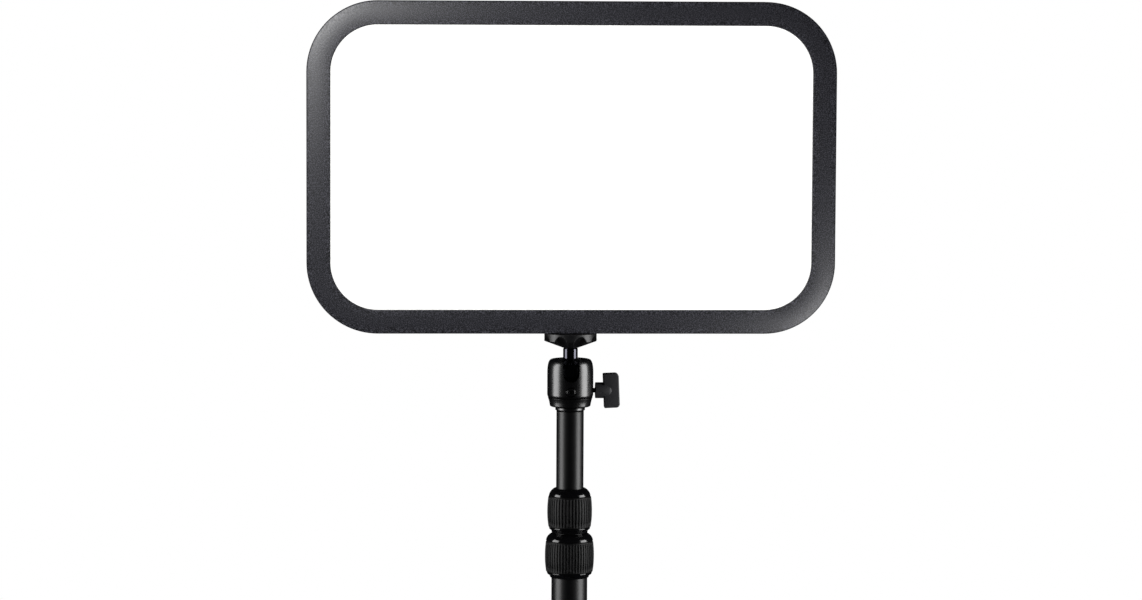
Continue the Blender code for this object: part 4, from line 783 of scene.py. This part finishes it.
# %% Spigot and tubes
spigot_low, spigot_high = node_box("head_spigot")[:, 2]
flange_low = node_box("top_tube")[1, 2] + 0.3
profile = rounded([(0, spigot_high, 0), (3.1, spigot_high, 0.4), (3.1, flange_low + 2.5, 0),
                   (10.2, flange_low + 2.5, 0.5), (10.4, flange_low + 0.6, 0.6), (9.6, flange_low, 0.3),
                   (8.0, flange_low, 0), (8.0, spigot_low, 0.4), (0, spigot_low, 0)])
turn_and_fit("spigot", turned_anodised, "head_spigot", profile)


# Both ends of a tube's wall are broken by a third of a millimetre.
TUBE_WALL = 1.2
for name, node in (("upper_stage", "top_tube"), ("middle_stage", "mid_tube"),
                   ("lower_stage", "bottom_tube")):
    low, high = node_box(node)
    bore = high[0] - TUBE_WALL
    profile = rounded([(high[0], low[2], 0.35), (high[0], high[2], 0.35), (bore, high[2], 0.3),
                       (bore, low[2], 0.3)], 4, True)
    turn_and_fit(name, tube_anodised, node, profile, steps=80, closing="ring")

# %% [markdown]
# A twist collar has a polished shell, whose two ends stay in sight, and a rubber band with straight
# ribs between them. Each rib is twelve steps of the band's turn: a rounded crest, steep flanks and a
# flat valley. The crests catch the soft boxes while the valleys stay dark.

# %% Twist collars
def collar_shell(prefix, held, clamped, shoulder, foot):
    """Shell of a collar: shoulder and foot are (radius, height from its lower end) corners."""
    low, high = node_box(f"{prefix}_collar_shell")[:, 2]
    barrel = held + 0.3 + 1.2 + 0.3 + 0.9
    chamber, ceiling = barrel - 0.9, high - 5.0
    outer = [(held + 0.3, low, 0.2)] + [(r, low + h, reach) for r, h, reach in foot]
    outer += [(barrel, low + 3.5, 0), (barrel, low + 26.1, 0)]
    outer += [(r, low + h, reach) for r, h, reach in shoulder]
    outer += [(clamped + 0.3, high, 0.3), (clamped + 0.3, ceiling + 1.2, 0), (chamber, ceiling, 0),
              (chamber, low + 5.0, 0), (held + 0.3, low + 5.0, 0)]
    turn_and_fit(f"{prefix}_ring", gloss_plastic, f"{prefix}_collar_shell", rounded(outer, 5, True),
                 steps=112, closing="ring")


def collar_grip(prefix, bore, crown, ribs):
    """Ribbed band: crown gives (radius, height) of its silhouette; between the ribs it is 0.55 mm
    lower, which fades out over the first and last two millimetres."""
    low, high = node_box(f"{prefix}_collar_grip")[:, 2]
    rib = np.array([1, 0.97, 0.85, 0.05, 0, 0, 0, 0, 0, 0.05, 0.85, 0.97])
    angle = round_angles(ribs * len(rib))[None, :]
    profile = rounded([(r, low + h, reach) for r, h, reach in crown], 5)
    height = profile[:, 1:]
    fade = np.clip(np.minimum(height - low - 0.9, high - height - 0.9) / 1.1, 0, 1)
    radius = profile[:, :1] - 0.55 * fade * (1 - np.tile(rib, ribs))
    outer = np.stack((radius * np.cos(angle), radius * np.sin(angle), height + 0 * angle), -1)
    inner = turned(np.array([(bore, high), (bore, low)], float), ribs * len(rib))
    grid = np.concatenate((outer, inner))
    fit(make_piece(f"{prefix}_band", [(grid, "ring")], 50), grip_rubber, f"{prefix}_collar_grip")


collar_shell("upper", 11.0, 9.5,
             [(14.5, 26.1, 0.1), (14.0, 27.7, 0.8), (12.7, 29.6, 1.2), (10.9, 31.0, 0.6)],
             [(12.5, 0, 0.2), (12.7, 1.6, 0.4), (14.1, 2.5, 0.4), (14.3, 3.5, 0.3)])
collar_shell("lower", 12.5, 11.0,
             [(16.4, 26.1, 0.1), (15.9, 27.7, 0.8), (14.6, 29.6, 1.2), (12.4, 31.0, 0.6)],
             [(13.4, 0, 0.2), (13.8, 1.4, 0.4), (15.4, 2.4, 0.5), (15.7, 3.5, 0.3)])
collar_grip("upper", 14.0, [(14.2, 0, 0), (14.75, 0.4, 0.4), (15.45, 5.5, 3.0), (15.65, 11.5, 4.0),
                            (15.4, 17.0, 3.0), (14.95, 21.2, 0.7), (14.3, 22.0, 0)], 44)
collar_grip("lower", 15.5, [(15.7, 0, 0), (16.25, 0.4, 0.4), (16.95, 5.5, 3.0), (17.15, 11.5, 4.0),
                            (16.95, 17.0, 3.0), (16.5, 21.2, 0.7), (15.9, 22.0, 0)], 52)

# %% [markdown]
# ## The desk clamp
# The bracket is a strip of steel bent to a C. Its side outline is carried across its width and drawn
# in at both ends, which rounds the sheared edges. Drawing an outline in means moving each point along
# its normal, and the normal is square to the line between the point's two neighbours.

# %% Bracket
def drawn_in(outline, inset):
    """Closed outline moved inwards: each point goes by inset along the normal of its neighbours."""
    along = np.roll(outline, -1, 0) - np.roll(outline, 1, 0)
    along /= np.linalg.norm(along, axis=1, keepdims=True)
    return outline + inset * np.stack((along[:, 1], -along[:, 0]), -1)


bracket_low, bracket_high = node_box("clamp_bracket")
spindle_y = node_box("clamp_spindle")[:, 1].mean()
STEEL, BEND = 6.0, 9.0
top, rear = bracket_high[2], bracket_high[1]
arm_middle = bracket_low[2] + 9.0
outline = rounded([(bracket_low[1], top, 1.2), (rear, top, BEND), (rear, arm_middle - 3, BEND),
                   (-30, arm_middle - 3, 1.2), (-30, arm_middle + 3, 1.2),
                   (rear - STEEL, arm_middle + 3, BEND - STEEL), (rear - STEEL, top - STEEL, BEND - STEEL),
                   (bracket_low[1], top - STEEL, 1.2)], 8, True)
distinct = np.linalg.norm(np.roll(outline, -1, 0) - outline, axis=1) > 1e-6
outline = outline[distinct]
SHEARED_EDGE = 0.8
half, edge_turn = bracket_high[0], np.linspace(0, np.pi / 2, 5)
near, inset = SHEARED_EDGE * (1 - np.cos(edge_turn)), SHEARED_EDGE * (1 - np.sin(edge_turn))
rows = []
for x, inset in zip((*(-half + near), *(half - near[::-1])), (*inset, *inset[::-1])):
    y, z = drawn_in(outline, inset).T
    rows.append(np.stack((np.full_like(y, x), y, z), -1))
bracket = make_piece("bracket", [(np.array(rows), "caps")])
BOLT_X = 20.5
holes = [rod(f"bolt_hole_{side}", 1.8, 4, 12, "up", (side * BOLT_X, 0, 0)) for side in (-1, 1)]
carve(bracket, [rod("spindle_hole", 5.3, -95, -70, "up", (0, spindle_y, 0)), *holes])
profile = rounded([(5.3, bracket_low[2], 0.4), (10, bracket_low[2], 0.9), (10, bracket_low[2] + 18, 0.9),
                   (5.3, bracket_low[2] + 18, 0.4)], 5, True)
boss = make_mesh("boss", [(facing(turned(profile), "up", (0, spindle_y, 0)), "ring")])
shape = bmesh.new()
shape.from_mesh(bracket.data)
shape.from_mesh(boss)
shape.to_mesh(bracket.data)
shape.free()
bracket.data.set_sharp_from_angle(angle=math.radians(32))
fit(bracket, clamp_coat, "clamp_bracket")

# %% [markdown]
# Rubber under the jaw keeps the steel off the desk. Shallow ribs across it, 1.26 mm apart, are a wave
# in the bump of its material rather than geometry, as they are only a tenth deep. The wave texture
# turns through 20 radians a unit, so its scale is 2 pi / (20 times the spacing).

# %% Rubber pads
ribbed_rubber, tree, shader, place = new_material(
    "ribbed_black_rubber", Base_Color=linear("#101012"), Roughness=0.72)
ribs = add_node(tree, "ShaderNodeTexWave", {"Vector": place, "Scale": 250.0}, bands_direction="Y")
emboss(tree, shader, ribs.outputs["Fac"], 0.1, 0.6)

pad_low, pad_high = node_box("jaw_pad")
pad = rounded_block(pad_high - pad_low, 2.5, 0.4) + (pad_low + pad_high) / 2
fit(make_piece("jaw_rubber", [(pad, "caps")]), ribbed_rubber, "jaw_pad")

rubber_low, rubber_high = node_box("pad_rubber")
profile = rounded([(0, rubber_low[2], 0), (19, rubber_low[2], 0.2), (19, rubber_high[2], 0.5),
                   (0, rubber_high[2], 0)])
turn_and_fit("press_rubber", ribbed_rubber, "pad_rubber", profile, "up", (0, spindle_y, 0))

# %% [markdown]
# The pole stands in a turned socket that two bolts hold to the bracket, and a thumb screw at its side
# keeps it from turning.

# %% Pole socket and its screws
foot_low, foot_high = node_box("pole_socket")
foot, rim = foot_low[2], foot_high[2]
thumb_z = node_box("pole_thumb_screw")[:, 2].mean()
flange = foot_high[0]
profile = rounded([(0, foot, 0), (flange, foot, 0.4), (flange, foot + 4, 0.8), (17.6, foot + 5, 0.6),
                   (17, foot + 6, 0.8), (17, rim, 1.2), (12.8, rim, 0.4), (12.8, foot + 1.9, 0),
                   (0, foot + 1.9, 0)])
socket = make_piece("socket", [(turned(profile, 112), "poles")])
cutters = [rod("thumb_hole", 3.3, 10.03, 20, "right", (0, 0.007, thumb_z))]
for side in (-1, 1):
    profile = np.array([(0, foot - 2), (1.8, foot - 2), (1.8, foot + 2.5), (3.2, foot + 2.5),
                        (3.2, foot + 8), (0, foot + 8)], float)
    seat = facing(turned(profile, 40), "up", (side * BOLT_X, 0.013, 0))
    cutters.append(make_piece(f"bolt_seat_{side}", [(seat, "poles")]))
carve(socket, cutters, bevel=0.2)
fit(socket, turned_anodised, "pole_socket")
for number, side in enumerate((-1, 1), 1):
    grid = socket_head(2.9, foot + 2.8, foot + 4.7, 1.2, 1.0, 1.5, foot - 2.3, 40, 0.5)
    bolt = make_piece(f"foot_bolt_{number}", [(facing(grid, "up", (side * BOLT_X, 0, 0)), "poles")])
    fit(bolt, black_steel, f"socket_screw_{number}")

# %% [markdown]
# Moulded knobs are gripped by their lobes. They are the dials' ridges again, but few and deep, and
# they stop where the knob's hub is round.

# %% Knobs
thumb_low, thumb_high = node_box("pole_thumb_screw")[:, 0]
profile = rounded([(0, thumb_low, 0), (3, thumb_low, 0.4), (3, thumb_high - 12, 0),
                   (8.6, thumb_high - 12, 0.8), (10, thumb_high - 10.4, 0.8),
                   (10, thumb_high - 1.6, 0.8), (8.4, thumb_high, 0.8), (6.6, thumb_high, 0.4),
                   (5.6, thumb_high - 0.7, 0.5), (0, thumb_high - 0.7, 0)])
grid = facing(turned(profile, 180, ridges(12, 0.1, 20, 41, 1.6)), "right", (0, 0, thumb_z))
fit(make_piece("thumb_screw", [(grid, "poles")]), matte_nylon, "pole_thumb_screw")

plate_low, plate_high = node_box("spindle_pad")[:, 2]
profile = rounded([(0, plate_low + 3.8, 0), (5.3, plate_low + 3.8, 0), (5.3, plate_low, 0.3),
                   (9.6, plate_low, 0.6), (11, plate_low + 2.4, 1.2), (19.2, plate_low + 3.4, 0.8),
                   (20, plate_high, 0.5), (0, plate_high, 0)])
turn_and_fit("press_plate", clamp_coat, "spindle_pad", profile, "up", (0, spindle_y, 0))

spindle_low, spindle_high = node_box("clamp_spindle")[:, 2]
grid = facing(threaded(5, spindle_low, spindle_high, 1.5, 0.75, 32), "up", (0, spindle_y, 0))
fit(make_piece("threaded_spindle", [(grid, "poles")]), screw_steel, "clamp_spindle")

knob_low, knob_high = node_box("clamp_knob")[:, 2]
profile = rounded([(5.3, knob_high - 17.1, 0), (5.3, knob_high, 0.3), (9.5, knob_high, 1.2),
                   (10.5, knob_high - 2.4, 2), (20, knob_high - 3.4, 2), (22, knob_high - 5.4, 2.2),
                   (22, knob_low + 3.2, 2.6), (18.5, knob_low, 2.4), (7, knob_low, 1),
                   (6.4, knob_low + 1, 0.8), (0, knob_low + 1, 0)])
profile = np.concatenate(([(0, knob_high - 17.1)], profile))
grid = turned(profile, 160, ridges(5, 0.17, 19, 55, 0.9))
knob = make_piece("spindle_knob", [(facing(grid, "up", (0, spindle_y, 0)), "poles")])
fit(knob, matte_nylon, "clamp_knob")

# %% [markdown]
# ## Studio
# A product stands on pale ground in a white room. Rays from the camera that miss everything see white;
# everything else sees a dim room, so that black surfaces stay black between the reflections of the
# lamps; the ground leaves no reflection either. It lies just below the lowest reach of the clamp's
# knob. Two tall soft boxes, one on each side, draw the pale bands down every round black piece.

# %% Room and floor
world = bpy.data.worlds.new("studio")
bpy.context.scene.world = world
world.use_nodes = True
tree = world.node_tree
tree.nodes.clear()
is_camera = add_node(tree, "ShaderNodeLightPath").outputs["Is Camera Ray"]
dim = add_node(tree, "ShaderNodeBackground", {"Color": linear("#f4f6ff"), "Strength": 0.012})
white = add_node(tree, "ShaderNodeBackground", {"Color": (1, 1, 1, 1), "Strength": 1.0})
room = add_node(tree, "ShaderNodeMixShader", {0: is_camera, 1: dim.outputs[0], 2: white.outputs[0]})
add_node(tree, "ShaderNodeOutputWorld", {"Surface": room.outputs[0]})
bpy.context.scene.view_settings.view_transform = "Standard"

FLOOR_TOP, FLOOR_RADIUS = -180.0, 1500
profile = np.array([(0, FLOOR_TOP), (FLOOR_RADIUS, FLOOR_TOP), (FLOOR_RADIUS, FLOOR_TOP - 4),
                    (0, FLOOR_TOP - 4)])
floor = make_piece("floor", [(turned(profile, 96), "poles")])
pale_ground, tree, shader, place = new_material("pale_ground", Roughness=0.8)
cloud = add_node(tree, "ShaderNodeTexNoise", {"Vector": place, "Scale": 12.0})
tint(tree, shader, cloud.outputs["Fac"], "#ececec", "#f0f0f0")
floor.data.materials.append(pale_ground)
floor.visible_glossy = False


# %% [markdown]
# Flags, black cards on stands, keep a lamp's light off what it should not reach. Here a lamp is told
# which pieces it lights or leaves out. The two boxes leave the bezel to two small lamps of its own:
# one high on the left that fades across it, and a weaker one low on the right. Two lamps behind light
# the rear cover and the clamp, and one overhead the ground.

# %% Lamps
def looking(spot, aim):
    """Matrix of a lamp or camera at spot that looks at aim: its Z axis is (spot - aim), level."""
    back = (np.array(spot) - aim) / np.linalg.norm(np.array(spot) - aim)
    right = np.cross((0, 0, 1), back)
    right /= np.linalg.norm(right)
    matrix = np.eye(4)
    matrix[:3] = np.stack((right, np.cross(back, right), back, spot), -1)
    return Matrix(matrix.tolist())


def lamp(name, spot, aim, size, radiance, lit=(), flagged=()):
    """Area lamp of size (width, height) in metres; its power is radiance times area times pi. It lights
    only the lit pieces, if any are named, and never the flagged ones."""
    light = bpy.data.lights.new(name, "AREA")
    light.shape, light.size, light.size_y = "RECTANGLE", *size
    light.energy = radiance * size[0] * size[1] * math.pi
    box = put_in_scene(name, light)
    box.matrix_world, box.visible_camera = looking(spot, aim), False
    if lit or flagged:
        pieces = bpy.data.collections.new(f"{name}_pieces")
        for number, piece in enumerate((*lit, *flagged)):
            pieces.objects.link(piece)
            state = "INCLUDE" if number < len(lit) else "EXCLUDE"
            pieces.collection_objects[number].light_linking.link_state = state
        box.light_linking.receiver_collection = pieces


out_of_sight = [piece for piece in bpy.data.objects if piece.name not in node_body and piece.name.startswith(
    ("cover", "back_screw", "brightness_knob", "colour_knob", "button", "power_inlet", "bracket", "socket",
     "foot_bolt", "thumb_screw", "jaw_rubber", "press_", "threaded", "spindle_knob"))]
AIM = (0, 0, 0.56)
lamp("left_box", (-1.28, -0.26, 0.56), AIM, (0.8, 1.2), 6.6, flagged=[bezel, floor])
lamp("right_box", (1.25, -0.36, 0.56), AIM, (0.8, 1.2), 7.6, flagged=[bezel, floor])
lamp("high_left", (-0.222, -0.407, 0.791), (-0.1, 0, 0.7), (0.06, 0.06), 96.0, lit=[bezel])
lamp("low_right", (0.226, -0.238, 0.502), (0.14, 0, 0.6), (0.05, 0.05), 30.0, lit=[bezel])
lamp("rear_left", (-1.1, 1.4, 1.2), AIM, (0.9, 0.9), 22.0, lit=out_of_sight)
lamp("rear_right", (1.3, 1.1, 0.8), AIM, (0.8, 1.0), 12.0, lit=out_of_sight)
lamp("overhead", (0.2, -0.5, 2.2), AIM, (1.2, 1.2), 9.0, lit=[floor])

# %% [markdown]
# The camera stands a little to the left of the pole and above the panel's middle, 2.6 metres off, and
# looks down by five degrees. A long lens keeps the panel's sides nearly parallel.

# %% Camera
AZIMUTH, ELEVATION, ROLL = -0.048717, 0.083806, 0.0049565
position = np.array((-127.890, -2627.572, 128.937 + panel_centre[2])) * MM
away = np.array((math.sin(AZIMUTH) * math.cos(ELEVATION), -math.cos(AZIMUTH) * math.cos(ELEVATION),
                 math.sin(ELEVATION)))
lens = bpy.data.cameras.new("camera")
lens.sensor_width, lens.lens = 36.0, 36.0 * 3809 / 1142
lens.clip_start, lens.clip_end = 0.05, 50
camera = put_in_scene("camera", lens)
camera.matrix_world = looking(position, position - away) @ Matrix.Rotation(ROLL, 4, "Z")
bpy.context.scene.camera = camera
print("camera", np.round(position, 3).tolist(), "lens", round(lens.lens, 1))
